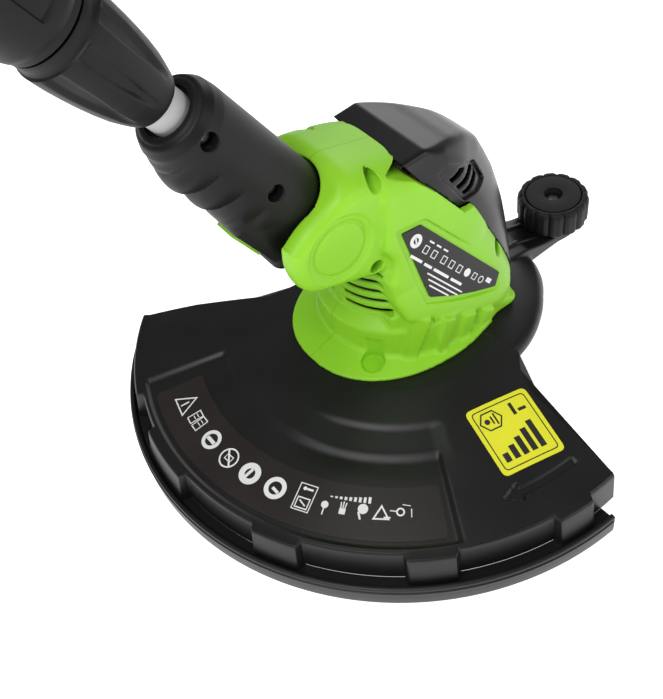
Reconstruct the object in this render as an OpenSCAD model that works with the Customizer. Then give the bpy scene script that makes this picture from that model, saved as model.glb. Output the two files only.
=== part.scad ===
// Electric string trimmer: a tilting motor head with a line spool, guard and edge wheel
// on a telescopic shaft, with a looped front handle and a rear handle with the switch.
// The origin is the centre of the spool's foot, +Z runs up the motor axis,
// and the shaft leans back towards -X.

/* [Frame] */
// Height of the guard's rim above the spool's foot
rim_h = 4; // [3:0.5:6]
// Height of the tilt pivot above the guard's rim
pivot_up = 142; // [141:0.5:144]
// Distance of the tilt pivot behind the motor axis
pivot_back = 50; // [49:0.5:52]
// Angle between the shaft and the plane of the guard
shaft_angle = 58; // [57:0.5:59]

/* [Guard] */
// Outer radius of the guard's rim
rim_r = 160; // [158:1:165]
// Height of the guard's top surface at the motor axis end
hub_z = 47; // [46.5:0.25:47.5]
// Height of the guard's top surface at its outer wall
brow_z = 29.5; // [28:0.5:31]
// Thickness of the guard's shell
guard_t = 2.5; // [2:0.1:3]
// Radius of the guard's hub, and of its front edge
hub_r = 76; // [74:1:78]
// Angle at which the guard starts, on the far side
guard_from = 133; // [130:1:136]
// Angle at which the guard ends, on the near side
guard_to = 270; // [266:1:272]
// Half angle covered by the wheel bracket at the front
bracket_half = 70; // [68:1:75]

/* [Motor housing] */
// Radius of the skirt that rests on the guard
skirt_r = 62; // [61:0.5:63]
// Radius of the round lower part of the housing
drum_r = 41; // [40.5:0.25:42]
// Half width of the housing's flat sides
side_y = 37; // [36.5:0.25:38]
// Distance of the top cover's joint face from the shaft's axis
cover_p = 47; // [46.5:0.25:48]
// Wall thickness of the shells
shell_t = 2.5; // [2:0.1:3]

/* [Cutting head] */
// Radius of the spool housing
spool_r = 42; // [40:0.5:44]
// Reach of the cutting line from the motor axis
line_reach = 143; // [120:1:145]
// Radius of the cutting line
line_r = 0.7; // [0.6:0.05:1]
// Radius of the motor shaft
shaft_r = 4; // [3.5:0.25:4]

/* [Edge wheel] */
// Distance of the wheel's axis in front of the motor axis
wheel_x = 118; // [116:1:120]
// Radius of the wheel over its lobes
wheel_r = 21; // [20:0.5:22]
// Width of the wheel
wheel_w = 18; // [17:0.5:19]
// Number of lobes around the wheel
wheel_lobes = 14; // [12:1:16]

/* [Telescopic shaft] */
// Radius of the inner tube
tube_r = 10; // [9.5:0.25:10]
// Radius of the outer tube
outer_r = 13; // [12.75:0.25:13.5]
// Radius of the arm that carries the head
arm_r = 20; // [19.5:0.25:20]
// Length of the arm from the pivot to its end face
arm_len = 106; // [104:1:108]
// Longest travel of the inner tube
shaft_travel = 200; // [150:10:210]

/* [Handles] */
// Distance of the front handle's hinge from the head's pivot
front_s = 470; // [440:5:500]
// Half width of the front handle's loop
loop_w = 62; // [55:1:66]
// Height of the front handle's loop
loop_h = 104; // [95:1:110]
// Distance of the rear handle from the head's pivot
rear_s = 590; // [585:1:595]

/* [Hidden] */
$fn = 64;
gap = 0.3;        // air between pieces of different bodies
fit = 0.05;       // radial play of a shaft in its bearing
tilt = 90 - shaft_angle;
inner_end = 400;  // where the inner tube ends inside the outer one
slot_y = 20.6;    // half width of the yoke's slot
ear_y = 31;       // half width over the yoke's ears
wheel_z = 38;     // underside of the wheel above the rim
cutter_a = 262;   // angle of the line cutter around the motor axis
lime = [0.5, 0.82, 0.15];
black = [0.12, 0.12, 0.12];
steel = [0.7, 0.7, 0.72];

// A place on the shaft's side view, in the head's X and Z: s along the shaft, p above its axis
function on_shaft(s, p) = [-pivot_back + p * cos(tilt) - s * sin(tilt),
                           pivot_up + p * sin(tilt) + s * cos(tilt)];

// A place at a radius and an angle around the motor axis
function around(r, a) = [r * cos(a), r * sin(a)];

module above_rim() translate([0, 0, rim_h]) children();
module along_shaft(s = 0)
    translate([-pivot_back, 0, rim_h + pivot_up]) rotate([0, -tilt, 0]) translate([0, 0, s]) children();

// Extrudes an X-Z outline along Y, centred on the part's middle plane
module side_on(width) rotate([90, 0, 0]) linear_extrude(width, center = true) children();

module across_y(r, length) rotate([90, 0, 0]) cylinder(r = r, h = length, center = true);

module ring(r_out, r_in, h) difference() {
    cylinder(r = r_out, h = h);
    translate([0, 0, -1]) cylinder(r = r_in, h = h + 2);
}

module half(side) intersection() {
    children();
    translate([-500, side > 0 ? 0 : -200, -500]) cube([1500, 200, 1500]);
}

// ---- motor housing ----
housing_screw_places = [[-27, 163], [-31, 116], [40, 76], [50, 61]];
rear_guard_screws = [140, 220];
front_guard_screw = 52;
housing_side = [
    [-40, 62], [25, 48], [56, hub_z + 0.2], [61, 52], [60, 62], on_shaft(-112, cover_p),
    on_shaft(1, cover_p), [-38, 173], on_shaft(20, 23), on_shaft(34, -26),
    on_shaft(8, -27), [-43, 108]
];

module housing_form() difference() {
    union() {
        rotate_extrude() polygon([[0, hub_z + 0.2], [skirt_r, hub_z + 0.2], [skirt_r - 1, 49.5], [54, 54],
            [51, 59], [50, 70], [48, 72], [drum_r, 73.5], [drum_r, 76], [0, 76]]);
        intersection() {
            translate([0, 0, 75]) cylinder(r = drum_r, h = 41);
            cube([200, 2 * side_y, 400], center = true);
        }
        intersection() {
            side_on(2 * side_y) polygon(housing_side);
            union() {
                side_on(2 * ear_y)
                    polygon([[-120, 60], [-40, 60], [-34, 120], [-20, 174], [-60, 190], [-120, 200]]);
                side_on(2 * side_y + 1)
                    polygon([[-40, 40], [70, 40], [70, 100], [0, 180], [-20, 175], [-34, 120]]);
            }
        }
        translate([-pivot_back, 0, pivot_up]) across_y(30, 2 * ear_y);
    }
    side_on(200) polygon([on_shaft(100, cover_p), on_shaft(100, 200), on_shaft(-150, 200),
        on_shaft(-118, cover_p)]);
}

module housing_hollow() {
    cylinder(r = drum_r - shell_t, h = 71);
    cylinder(r = side_y - shell_t, h = 111);
    cylinder(r = 27, h = 119);
    side_on(2 * (side_y - shell_t)) polygon([[-28, 100], [-24, 118], [-22, 130], [-18, 155], [-12, 163],
        on_shaft(1, cover_p + 1), on_shaft(-106, cover_p + 1), [56, 64], [57, 52], [24, 52], [-30, 66]]);
}

module arm_slot() {
    side_on(2 * slot_y) polygon([on_shaft(-3, 20.8), on_shaft(80, 20.8), [-190, 200], [-160, 100],
        [-60, 113], [-52, 119]]);
    translate([-pivot_back, 0, pivot_up]) across_y(23, 2 * slot_y);
}

module housing_half(side) color(lime) above_rim() half(side) difference() {
    union() {
        difference() {
            housing_form();
            housing_hollow();
        }
        intersection() {
            for (p = housing_screw_places) translate([p[0], 0, p[1]]) across_y(4.5, 2 * side_y);
            housing_form();
        }
    }
    arm_slot();
    translate([-pivot_back, 0, pivot_up]) across_y(5, 56);
    for (p = housing_screw_places) translate([p[0], 0, p[1]]) {
        across_y(1.8, 64);
        translate([0, -50, 0]) across_y(3.8, 2 * (50 - 31.2));
    }
    for (a = rear_guard_screws) translate([each around(57, a), 40]) {
        cylinder(r = 1.8, h = 40);
        translate([0, 0, 11]) cylinder(r = 4.5, h = 30);
    }
    translate([front_guard_screw, 0, 40]) cylinder(r = 1.8, h = 14);
    for (i = [0:4]) translate([0, 0, 84 + 5 * i]) rotate([0, 0, 200]) rotate_extrude(angle = 32)
        translate([drum_r - 6, 0]) square([12, 2.4]);
    for (i = [0:4]) translate([0, 0, 84 + 5 * i]) rotate([0, 0, 128]) rotate_extrude(angle = 32)
        translate([drum_r - 6, 0]) square([12, 2.4]);
}

module housing_left() housing_half(1);
module housing_right() housing_half(-1);

module cover_form(inset) hull() {
    foot = inset > 0 ? 4 : 0;
    for (side = [-1, 1]) {
        for (q = [[14, 10], [27, -45], [20, -107]])
            translate([cover_p - foot, side * (q[0] - inset), q[1]])
                rotate([0, 90, 0]) cylinder(r = 8, h = 4 + foot, $fn = 32);
        for (q = [[68, 12, -28], [72, 14, -62], [62, 14, -98]])
            translate([q[0] - inset, side * (q[1] - inset), q[2]]) sphere(r = 10, $fn = 32);
    }
}

module top_cover() color(black) difference() {
    along_shaft() difference() {
        cover_form(0);
        cover_form(shell_t);
        translate([-60 + cover_p, -60, -200]) cube([60, 120, 300]);
    }
    for (side = [-1, 1], i = [0:3]) along_shaft(-62 - 7 * i) translate([60 - i, side * 32, 0])
        rotate([side * 20, 0, 0]) cube([13, 24, 2.6], center = true);
}

module base_plate() color(black) above_rim() translate([0, 0, 44]) ring(drum_r + 0.5, 11, 3);

module housing_screws() color(steel) above_rim()
    for (p = housing_screw_places) translate([p[0], 0, p[1]]) {
        translate([0, -32.3, 0]) across_y(3.2, 2.2);
        translate([0, -4, 0]) across_y(1.75, 54.4);
    }

module rating_plate() color(black) above_rim() translate([0, -side_y - 0.35, 0]) side_on(0.6)
    polygon([[-21, 137], [-11, 137], [41, 71], [40.5, 66], [36, 74], [16, 78], [-7, 86]]);

// ---- motor ----
module stator() color(steel) above_rim() translate([0, 0, 72]) ring(33, 19.5, 38);

module field_coils() color([0.72, 0.4, 0.2]) above_rim() for (z = [64, 110.2])
    translate([0, 0, z]) ring(26, 20, 7.8);

module brush_holders() color([0.75, 0.6, 0.3]) above_rim() for (side = [-1, 1])
    translate([0, side * 21, 133]) difference() {
        cube([10, 16, 10], center = true);
        cube([6.2, 18, 6.2], center = true);
    }

module carbon_brushes() color([0.2, 0.2, 0.2]) above_rim() for (side = [-1, 1])
    translate([0, side * 18.4, 133]) cube([6, 14, 6], center = true);

module bearing(z, r) above_rim() translate([0, 0, z]) ring(r, shaft_r + fit, 6);
module upper_bearing() color(steel) bearing(146, 9.5);
module lower_bearing() color(steel) bearing(47.2, 11);

module motor_shaft() color(steel) above_rim() translate([0, 0, 31.5]) cylinder(r = shaft_r, h = 120.5);

module armature() color([0.45, 0.4, 0.38]) above_rim() translate([0, 0, 74]) difference() {
    cylinder(r = 18.7, h = 34);
    translate([0, 0, -1]) cylinder(r = shaft_r, h = 40);
    for (a = [0:30:359]) rotate([0, 0, a]) translate([14, -1, -1]) cube([6, 2, 40]);
}

module commutator() color([0.72, 0.4, 0.2]) above_rim() translate([0, 0, 126]) ring(11, shaft_r, 14);

module cooling_fan() color(black) above_rim() {
    translate([0, 0, 54]) ring(9, shaft_r, 8);
    translate([0, 0, 54]) ring(32, 8.9, 1.6);
    for (a = [0:36:359]) rotate([0, 0, a]) translate([8.8, -0.8, 55.5]) cube([22, 1.6, 6.5]);
}

// ---- guard ----
module guard_sector(from, to) rotate([0, 0, from]) rotate_extrude(angle = to - from, $fn = 128) children();

// Everything outside a radius between two angles, to cut a window into the guard
module outside(r, from, to) translate([0, 0, -10]) rotate([0, 0, from])
    rotate_extrude(angle = to - from, $fn = 128) translate([r, 0]) square([200, 80]);

module guard() color(black) above_rim() difference() {
    guard_sector(bracket_half + 0.15, 360 - bracket_half - 0.15)
        polygon([[44, hub_z - 3], [skirt_r, hub_z - 3], [149.5, brow_z - 3], [150, brow_z - 5],
            [150.3, 10.6], [153, 10.6], [152.5, brow_z - 3], [150, brow_z], [skirt_r, hub_z], [44, hub_z]]);
    outside(hub_r, 50, guard_from);
    outside(hub_r, guard_to + 7, 310);
    for (a = rear_guard_screws) translate([each around(57, a), 30]) cylinder(r = 1.8, h = 30);
    rotate([0, 0, cutter_a]) for (y = [-5, 5]) translate([148.1, y, 22]) cylinder(r = 1, h = 7.4);
}

module guard_rim() color(black) above_rim()
    guard_sector(guard_from - 1, guard_to + 1) polygon([[150.3, 8], [rim_r - 2.5, 8], [rim_r - 2.5, 0],
        [rim_r, 0], [rim_r, 13], [rim_r - 2.5, 13], [rim_r - 2.5, 10.5], [150.3, 10.5]]);

module wheel_bracket() color(black) above_rim() difference() {
    union() {
        guard_sector(-bracket_half, bracket_half)
            polygon([[44, hub_z - 3], [78, 38], [80, 40], [79, 43.6], [skirt_r, hub_z], [44, hub_z]]);
        side_on(26) polygon([[70, 38], [70, 44.5], [80, 44], [98, wheel_z - 0.3], [wheel_x, wheel_z - 0.3],
            [wheel_x, 31], [92, 31]]);
        translate([wheel_x, 0, 31]) cylinder(r = 13, h = wheel_z - 31.3);
    }
    translate([wheel_x, 0, 20]) cylinder(r = 3, h = 30);
    translate([front_guard_screw, 0, 30]) cylinder(r = 1.8, h = 30);
    translate([front_guard_screw, 0, 30]) cylinder(r = 4, h = 14);
}

module guard_screws() color(steel) above_rim() {
    for (a = rear_guard_screws) translate([each around(57, a), 0]) {
        translate([0, 0, 43.5]) cylinder(r = 1.75, h = 7.6);
        translate([0, 0, 51.1]) cylinder(r = 4, h = 2.4);
    }
    translate([front_guard_screw, 0, 0]) {
        translate([0, 0, 43.8]) cylinder(r = 1.75, h = 9.8);
        translate([0, 0, 41.6]) cylinder(r = 3.6, h = 2.2);
    }
}

module line_cutter() color(steel) above_rim() rotate([0, 0, cutter_a]) translate([144.5, -9, 16]) difference() {
    union() {
        cube([1.5, 18, 8.8]);
        translate([0, 0, 8.8]) cube([5, 18, 1.5]);
    }
    for (y = [4, 14]) translate([3.6, y, 7]) cylinder(r = 1, h = 4);
}

module cutter_screws() color(steel) above_rim() rotate([0, 0, cutter_a]) for (y = [-5, 5])
    translate([148.1, y, 23.2]) {
        cylinder(r = 0.95, h = 5);
        cylinder(r = 1.7, h = 1.5);
    }

// A thin skin lying on the guard's cone between two radii
module cone_skin(r_in, r_out, from, to) {
    drop = (hub_z - brow_z) / (150 - skirt_r);
    guard_sector(from, to) polygon([for (q = [[r_in, 0.05], [r_out, 0.05], [r_out, 0.45], [r_in, 0.45]])
        [q[0], hub_z - drop * (q[0] - skirt_r) + q[1]]]);
}

module guard_label() color([0.2, 0.17, 0.15]) above_rim() cone_skin(115.5, 143, 159, 239.5);

module power_label() color([0.95, 0.9, 0.1]) above_rim() intersection() {
    cone_skin(80, 146, 240, 276);
    rotate([0, 0, 261]) translate([81, -15.5, 0]) linear_extrude(80) square([38, 36]);
}

// ---- edge wheel ----
module wheel_axle() color(steel) above_rim() translate([wheel_x, 0, 0]) {
    translate([0, 0, 30]) cylinder(r = 3, h = 18);
    translate([0, 0, 48]) cylinder(r = 4.6, h = 2.5);
}

module edge_wheel() color(black) above_rim() translate([wheel_x, 0, wheel_z]) difference() {
    cylinder(r = wheel_r, h = wheel_w - 1.2);
    translate([0, 0, -1]) cylinder(r = 3 + fit, h = 40);
    translate([0, 0, 9.7]) cylinder(r = 5.2, h = 20);
    translate([0, 0, wheel_w - 3.2]) cylinder(r = 16.2, h = 10);
    for (i = [0:wheel_lobes - 1]) rotate([0, 0, i * 360 / wheel_lobes])
        translate([wheel_r + 1.8, 0, -1]) cylinder(r = 3, h = 40, $fn = 24);
}

module wheel_cap() color(black) above_rim() translate([wheel_x, 0, wheel_z + wheel_w - 3.2])
    ring(16, 5.2, 3.2);

// ---- cutting head ----
module spool_housing() color(black) above_rim() difference() {
    union() {
        cylinder(r = spool_r, h = 34);
        translate([0, 0, 33]) cylinder(r = 12, h = 8);
    }
    translate([0, 0, -1]) cylinder(r = spool_r - shell_t, h = 32.5);
    translate([0, 0, -1]) cylinder(r = shaft_r, h = 60);
    rotate([0, 0, 57]) translate([0, 0, 18]) rotate([0, 90, 0]) cylinder(r = 3, h = 120, center = true);
}

module line_eyelets() color(steel) above_rim() for (a = [57, 237]) rotate([0, 0, a])
    translate([spool_r - 3.2, 0, 18]) rotate([0, 90, 0]) {
        ring(2.95, 1.2, 4.4);
        translate([0, 0, 3.4]) ring(4.2, 1.2, 1.2);
    }

module cutting_line() color([0.9, 0.5, 0.1]) above_rim() for (a = [57, 237]) rotate([0, 0, a])
    translate([spool_r - 2.4, 0, 18]) rotate([0, 90, 0]) cylinder(r = line_r, h = line_reach - spool_r + 2.4);

module spool() color(black) above_rim() difference() {
    union() {
        for (z = [8, 18, 28]) translate([0, 0, z]) cylinder(r = 36, h = 2);
        translate([0, 0, 8]) cylinder(r = 16, h = 22);
    }
    translate([0, 0, -1]) cylinder(r = 12.2 + fit, h = 60);
}

module wound_line() color([0.9, 0.5, 0.1]) above_rim() for (z = [10, 20])
    translate([0, 0, z]) ring(31, 16, 8);

module spool_cap() color(black) above_rim() {
    translate([0, 0, -2]) ring(spool_r + 1, 30.4, 2);
    translate([0, 0, -2]) ring(38.8, 30.4, 8);
    translate([0, 0, 4.2]) ring(31, 9.3, 1.8);
    translate([0, 0, 4.2]) ring(12.2, 9.3, 20);
    translate([0, 0, 22]) cylinder(r = 12.2, h = 2.2);
}

module bump_button() color(black) above_rim() translate([0, 0, -rim_h]) {
    rotate_extrude() polygon([[0, 0], [24, 0], [28, 1.2], [30, 3.4], [30, 3.6], [0, 3.6]]);
    cylinder(r = 9, h = 10);
}

module bump_spring() color(steel) above_rim() translate([0, 0, 6]) ring(7, 5.4, 16);

// ---- pivot and arm ----
module pivot_pin() color(steel) along_shaft() across_y(5, 55.8);

module arm_form() {
    across_y(21, 2 * 20);
    cylinder(r = arm_r, h = arm_len);
    side_on(26) polygon([[0, 4], [0, arm_len - 2], [-21, arm_len - 2], [-22, 90], [-24, 82], [-22, 74],
        [-24.5, 66], [-22.5, 57], [-25, 49], [-24, 40], [-26, 30], [-26, 14], [-20, 4]]);
}

module arm_half(side) color(black) along_shaft() half(side) difference() {
    arm_form();
    across_y(5 + fit, 60);
    translate([0, 0, 30]) cylinder(r = tube_r, h = 200);
    translate([0, 0, 14]) cylinder(r = 6, h = 20);
    translate([-30, -6.3, 16]) cube([18, 12.6, 22.6]);
    translate([-14, 0, 27]) rotate([0, 90, 0]) cylinder(r = 4.2, h = 9, center = true);
    for (s = [27, 68]) translate([s < 50 ? 12.5 : 13, 0, s < 50 ? 50 : 88]) {
        across_y(1.6, 60);
        translate([0, -40, 0]) across_y(3.2, 2 * (40 - 12));
    }
}

module arm_left() arm_half(1);
module arm_right() arm_half(-1);

module arm_screws() color(steel) along_shaft() for (s = [50, 88]) translate([s < 60 ? 12.5 : 13, 0, s]) {
    translate([0, -13, 0]) across_y(2.9, 2);
    translate([0, -1, 0]) across_y(1.55, 22);
}

module tilt_button() color(lime) along_shaft() translate([-27.6, -6, 16.3]) cube([8, 12, 22]);

module tilt_spring() color(steel) along_shaft() translate([-17.5, 0, 27]) rotate([0, 90, 0]) ring(3.8, 2.8, 7);

// ---- telescopic shaft ----
module inner_tube() color([0.8, 0.81, 0.82]) along_shaft(30) ring(tube_r, tube_r - 1.5, inner_end - 30);

module guide_bush() color(black) along_shaft(inner_end - 20) difference() {
    union() {
        cylinder(r = tube_r - 1.5 - fit, h = 21);
        translate([0, 0, 20.3]) cylinder(r = outer_r - 2.2 - fit, h = 20);
    }
    translate([0, 0, -1]) cylinder(r = 6.5, h = 60);
}

module collet() color(black) along_shaft(130) difference() {
    ring(12.6, tube_r + fit, 45);
    for (a = [0, 90]) rotate([0, 0, a]) translate([-20, -0.6, -1]) cube([40, 1.2, 26]);
}

module lock_collar() color(black) along_shaft(115) difference() {
    rotate_extrude() polygon([[tube_r + 0.4, 0], [11.8, 0], [12.8, 2], [15.8, 12], [18.2, 24], [19.9, 38],
        [20.8, 52], [20.4, 58.5], [12.9, 58.5], [12.9, 13], [tube_r + 0.4, 13]]);
    for (i = [0:7]) rotate([0, 0, 45 * i]) translate([21.4, 0, 50]) rotate([0, -6, 0])
        translate([0, 0, -30]) cylinder(r = 2.2, h = 26, $fn = 24);
}

module outer_sleeve() color(black) along_shaft(174) rotate_extrude()
    polygon([[outer_r, 0], [19, 0], [19, 4], [21, 5], [21.6, 30], [20, 66], [17, 82], [15, 86], [outer_r, 86]]);

module outer_tube() color([0.3, 0.3, 0.31]) along_shaft(176) ring(outer_r, outer_r - 2.2, rear_s + 41 - 176);

module coiled_lead() color(black) along_shaft(140) ring(5.5, 3.5, rear_s + 40 - 140);

// ---- front handle ----
hinge_p = 27;     // height of the front handle's hinge above the shaft's axis
loop_low = 30;    // distance of the loop's lower bar from the hinge

module handle_clamp() color(black) along_shaft(front_s) difference() {
    union() {
        translate([0, 0, -20]) cylinder(r = outer_r + 5, h = 40);
        for (side = [-1, 1]) translate([0, side * 11.5, 0]) {
            translate([hinge_p, 0, 0]) across_y(11, 7);
            translate([hinge_p / 2, 0, 0]) cube([hinge_p, 7, 22], center = true);
        }
    }
    translate([0, 0, -30]) cylinder(r = outer_r, h = 60);
    translate([hinge_p, 0, 0]) across_y(3, 60);
}

module clamp_bolt() color(steel) along_shaft(front_s) translate([hinge_p, 0, 0]) {
    translate([0, 4, 0]) across_y(2.95, 44);
    translate([0, -17, 0]) across_y(5.5, 4);
}

module loop_corner(y, z, from) translate([0, y, z]) rotate([0, 90, 0]) rotate([0, 0, from])
    rotate_extrude(angle = 90) translate([22, 0]) circle(r = 9);

module front_handle() color(black) along_shaft(front_s) translate([hinge_p, 0, 0]) rotate([0, 68, 0]) difference() {
    union() {
        across_y(8.2, 15);
        translate([-6, -7.5, 0]) cube([12, 15, loop_low]);
        for (z = [loop_low, loop_h]) translate([0, 0, z]) across_y(9, 2 * (loop_w - 31));
        for (side = [-1, 1]) translate([0, side * (loop_w - 9), loop_low + 22])
            cylinder(r = 9, h = loop_h - loop_low - 44);
        loop_corner(loop_w - 31, loop_low + 22, 0);
        loop_corner(31 - loop_w, loop_low + 22, 270);
        loop_corner(loop_w - 31, loop_h - 22, 90);
        loop_corner(31 - loop_w, loop_h - 22, 180);
    }
    across_y(3 + fit, 40);
}

module clamp_knob() color(black) along_shaft(front_s) translate([hinge_p, 0, 0]) difference() {
    union() {
        translate([0, 24.5, 0]) across_y(13, 12);
        translate([0, 17.5, 0]) across_y(8, 4.4);
        translate([0, 24.5, 0]) rotate([90, 0, 0]) for (a = [0:60:359]) rotate([0, 0, a])
            translate([12.5, 0, 0]) cylinder(r = 3.5, h = 12, center = true, $fn = 32);
    }
    translate([0, 12, 0]) across_y(3, 32);
}

// ---- rear handle ----
rear_screw_places = [[-62, 90], [-62, 190], [-36, 216], [-30, 52], [10, 160]];
module rear_form(inset) {
    rotate_extrude() polygon([[0, inset], [17.5 - inset, inset], [22 - inset, 8 + inset], [22 - inset, 60],
        [19 - inset, 74], [0, 74]]);
    difference() {
        side_on(2 * (16 - inset)) polygon([[18 - inset, 52], [19 - inset, 66], [15 - inset, 100],
            [12 - inset, 180], [6 - inset, 214], [-2, 232 - inset], [-44, 232 - inset],
            [-58 + inset, 222 - inset], [-66 + inset, 206], [-70 + inset, 130], [-66 + inset, 78],
            [-50 + inset, 52 + inset], [-20, 38 + inset]]);
        side_on(60) polygon([[-27 - inset, 74 - inset], [-25 + inset, 60 - inset], [-42 - inset, 64 - inset],
            [-54 - inset, 84], [-57 - inset, 130], [-54 - inset, 196], [-46, 208 + inset],
            [-32 + inset, 204 + inset], [-24 + inset, 180], [-22 + inset, 110]]);
    }
}

module rear_half(side) color(black) along_shaft(rear_s) half(side) difference() {
    rear_form(0);
    intersection() {
        rear_form(shell_t);
        side_on(40) polygon([[20, 45], [20, 90], [12, 225], [-26, 228], [-20, 190], [-18, 100], [-20, 60]]);
    }
    translate([0, 0, -1]) cylinder(r = outer_r, h = 42);
    translate([-42, -6.4, 74]) cube([33, 12.8, 52]);
    translate([8, -5.4, 76]) cube([20, 10.8, 22.8]);
    translate([-22, 0, 210]) cylinder(r = 7.5, h = 40);
    for (p = rear_screw_places) translate([p[0], 0, p[1]]) {
        across_y(1.6, 24);
        translate([0, -40, 0]) across_y(3.4, 2 * (40 - 11));
    }
}

module rear_left() rear_half(1);
module rear_right() rear_half(-1);

module rear_screws() color(steel) along_shaft(rear_s) for (p = rear_screw_places) translate([p[0], 0, p[1]]) {
    translate([0, -12, 0]) across_y(3, 2);
    translate([0, -0.5, 0]) across_y(1.55, 21);
}

module trigger() color(lime) along_shaft(rear_s) difference() {
    union() {
        side_on(12) polygon([[-20, 78], [-16, 121], [-28, 124], [-33, 112], [-34, 96], [-39, 84], [-36, 78]]);
        translate([-18, 0, 121]) across_y(3.6, 12);
    }
    translate([-18, 0, 121]) across_y(1.5, 20);
}

module trigger_spring() color(steel) along_shaft(rear_s) translate([-18.8, 0, 84]) rotate([0, 90, 0]) ring(3, 2.2, 9);

module lock_button() color(lime) along_shaft(rear_s) translate([9, -5, 77]) cube([10.5, 10, 21]);

module power_switch() color([0.2, 0.2, 0.2]) along_shaft(rear_s) translate([-7.5, -8, 90]) cube([11, 16, 28]);

module cord_gland() color(black) along_shaft(rear_s) translate([-22, 0, 214]) difference() {
    union() {
        cylinder(r = 7.4, h = 20);
        translate([0, 0, 18.2]) cylinder(r = 9.5, h = 6);
    }
    translate([0, 0, -1]) cylinder(r = 4, h = 60);
}

housing_left();
housing_right();
top_cover();
base_plate();
housing_screws();
rating_plate();
stator();
field_coils();
brush_holders();
carbon_brushes();
upper_bearing();
lower_bearing();
guard();
guard_rim();
wheel_bracket();
guard_screws();
line_cutter();
cutter_screws();
guard_label();
power_label();
wheel_axle();
edge_wheel();
wheel_cap();
motor_shaft();
armature();
commutator();
cooling_fan();
spool_housing();
line_eyelets();
cutting_line();
spool_cap();
spool();
wound_line();
bump_button();
bump_spring();
pivot_pin();
arm_left();
arm_right();
arm_screws();
inner_tube();
tilt_button();
tilt_spring();
guide_bush();
lock_collar();
collet();
outer_sleeve();
outer_tube();
coiled_lead();
handle_clamp();
clamp_bolt();
front_handle();
clamp_knob();
rear_left();
rear_right();
rear_screws();
trigger();
trigger_spring();
lock_button();
power_switch();
cord_gland();
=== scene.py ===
import math
import bmesh
import bpy
import numpy as np
from mathutils import Matrix, Vector


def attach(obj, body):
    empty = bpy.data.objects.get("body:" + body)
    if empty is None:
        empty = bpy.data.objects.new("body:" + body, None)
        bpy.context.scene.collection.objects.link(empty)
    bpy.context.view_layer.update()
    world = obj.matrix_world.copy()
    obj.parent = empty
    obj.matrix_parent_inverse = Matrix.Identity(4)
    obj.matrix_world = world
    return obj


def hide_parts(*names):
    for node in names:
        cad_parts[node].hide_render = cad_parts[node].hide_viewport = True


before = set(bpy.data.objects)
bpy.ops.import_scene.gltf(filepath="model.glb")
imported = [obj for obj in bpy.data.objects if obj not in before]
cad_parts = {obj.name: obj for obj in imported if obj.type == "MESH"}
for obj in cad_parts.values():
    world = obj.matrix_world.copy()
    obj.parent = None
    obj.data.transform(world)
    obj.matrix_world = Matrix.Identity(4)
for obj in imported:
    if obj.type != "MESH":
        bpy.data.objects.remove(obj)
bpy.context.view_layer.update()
scene = bpy.context.scene

# Shapes are worked out in millimetres above the guard's rim, and placed in metres
mm = 0.001
rimUp = 4.0  # the rim's height above the ground
tilt = math.radians(32)  # the shaft's lean from upright
pivot = (-50.0, 142.0)  # x and height of the head's hinge


view = {"place": (-0.248852, -0.339976, 0.485756), "turn": -30.572, "height": 47.936, "roll": -9.03,
        "lens": 55.98, "sensor": 36, "nearest": 0.01}


def makeCamera():
    turn, height, roll = (math.radians(view[k]) for k in ("turn", "height", "roll"))
    back = Vector((math.sin(turn) * math.cos(height), -math.cos(turn) * math.cos(height), math.sin(height)))
    level = Vector((math.cos(turn), math.sin(turn), 0))
    right = level * math.cos(roll) + back.cross(level) * math.sin(roll)
    up = back.cross(right)
    camera = bpy.data.cameras.new("camera")
    camera.lens = view["lens"]
    camera.sensor_width = view["sensor"]
    camera.clip_start = view["nearest"]
    holder = bpy.data.objects.new("camera", camera)
    holder.matrix_world = Matrix((right, up, back)).transposed().to_4x4()
    holder.location = view["place"]
    scene.collection.objects.link(holder)
    scene.camera = holder


studio = {"around": 0.2, "floor": 0.8}
lights = {  # place, aim, size, watts
    "key": ((-0.9, -0.5, 1.3), (0.0, 0.0, 0.08), 0.9, 16),
    "fill": ((0.7, -1.2, 0.8), (0.0, 0.0, 0.05), 0.9, 7),
    "back": ((1.15, 0.95, 0.72), (0.0, 0.0, 0.12), 0.8, 5.5),
    "top": ((-0.35, 0.1, 1.7), (0.0, 0.0, 0.08), 0.6, 4),
}


def makeLights():
    for name, (place, aim, size, watts) in lights.items():
        lamp = bpy.data.lights.new(name, "AREA")
        lamp.size, lamp.energy = size, watts
        holder = bpy.data.objects.new(name, lamp)
        holder.location = place
        holder.rotation_euler = (Vector(aim) - Vector(place)).to_track_quat("-Z", "Y").to_euler()
        scene.collection.objects.link(holder)
    world = bpy.data.worlds.new("studio")
    world.use_nodes = True
    tree = world.node_tree
    tree.nodes["Background"].inputs["Color"].default_value = (1, 1, 1, 1)
    seen = tree.nodes.new("ShaderNodeLightPath")
    strength = tree.nodes.new("ShaderNodeMapRange")
    strength.inputs["To Min"].default_value = studio["around"]
    strength.inputs["To Max"].default_value = 1.0
    tree.links.new(seen.outputs["Is Camera Ray"], strength.inputs["Value"])
    tree.links.new(strength.outputs["Result"], tree.nodes["Background"].inputs["Strength"])
    scene.world = world
    scene.view_settings.view_transform = "Standard"


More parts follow.
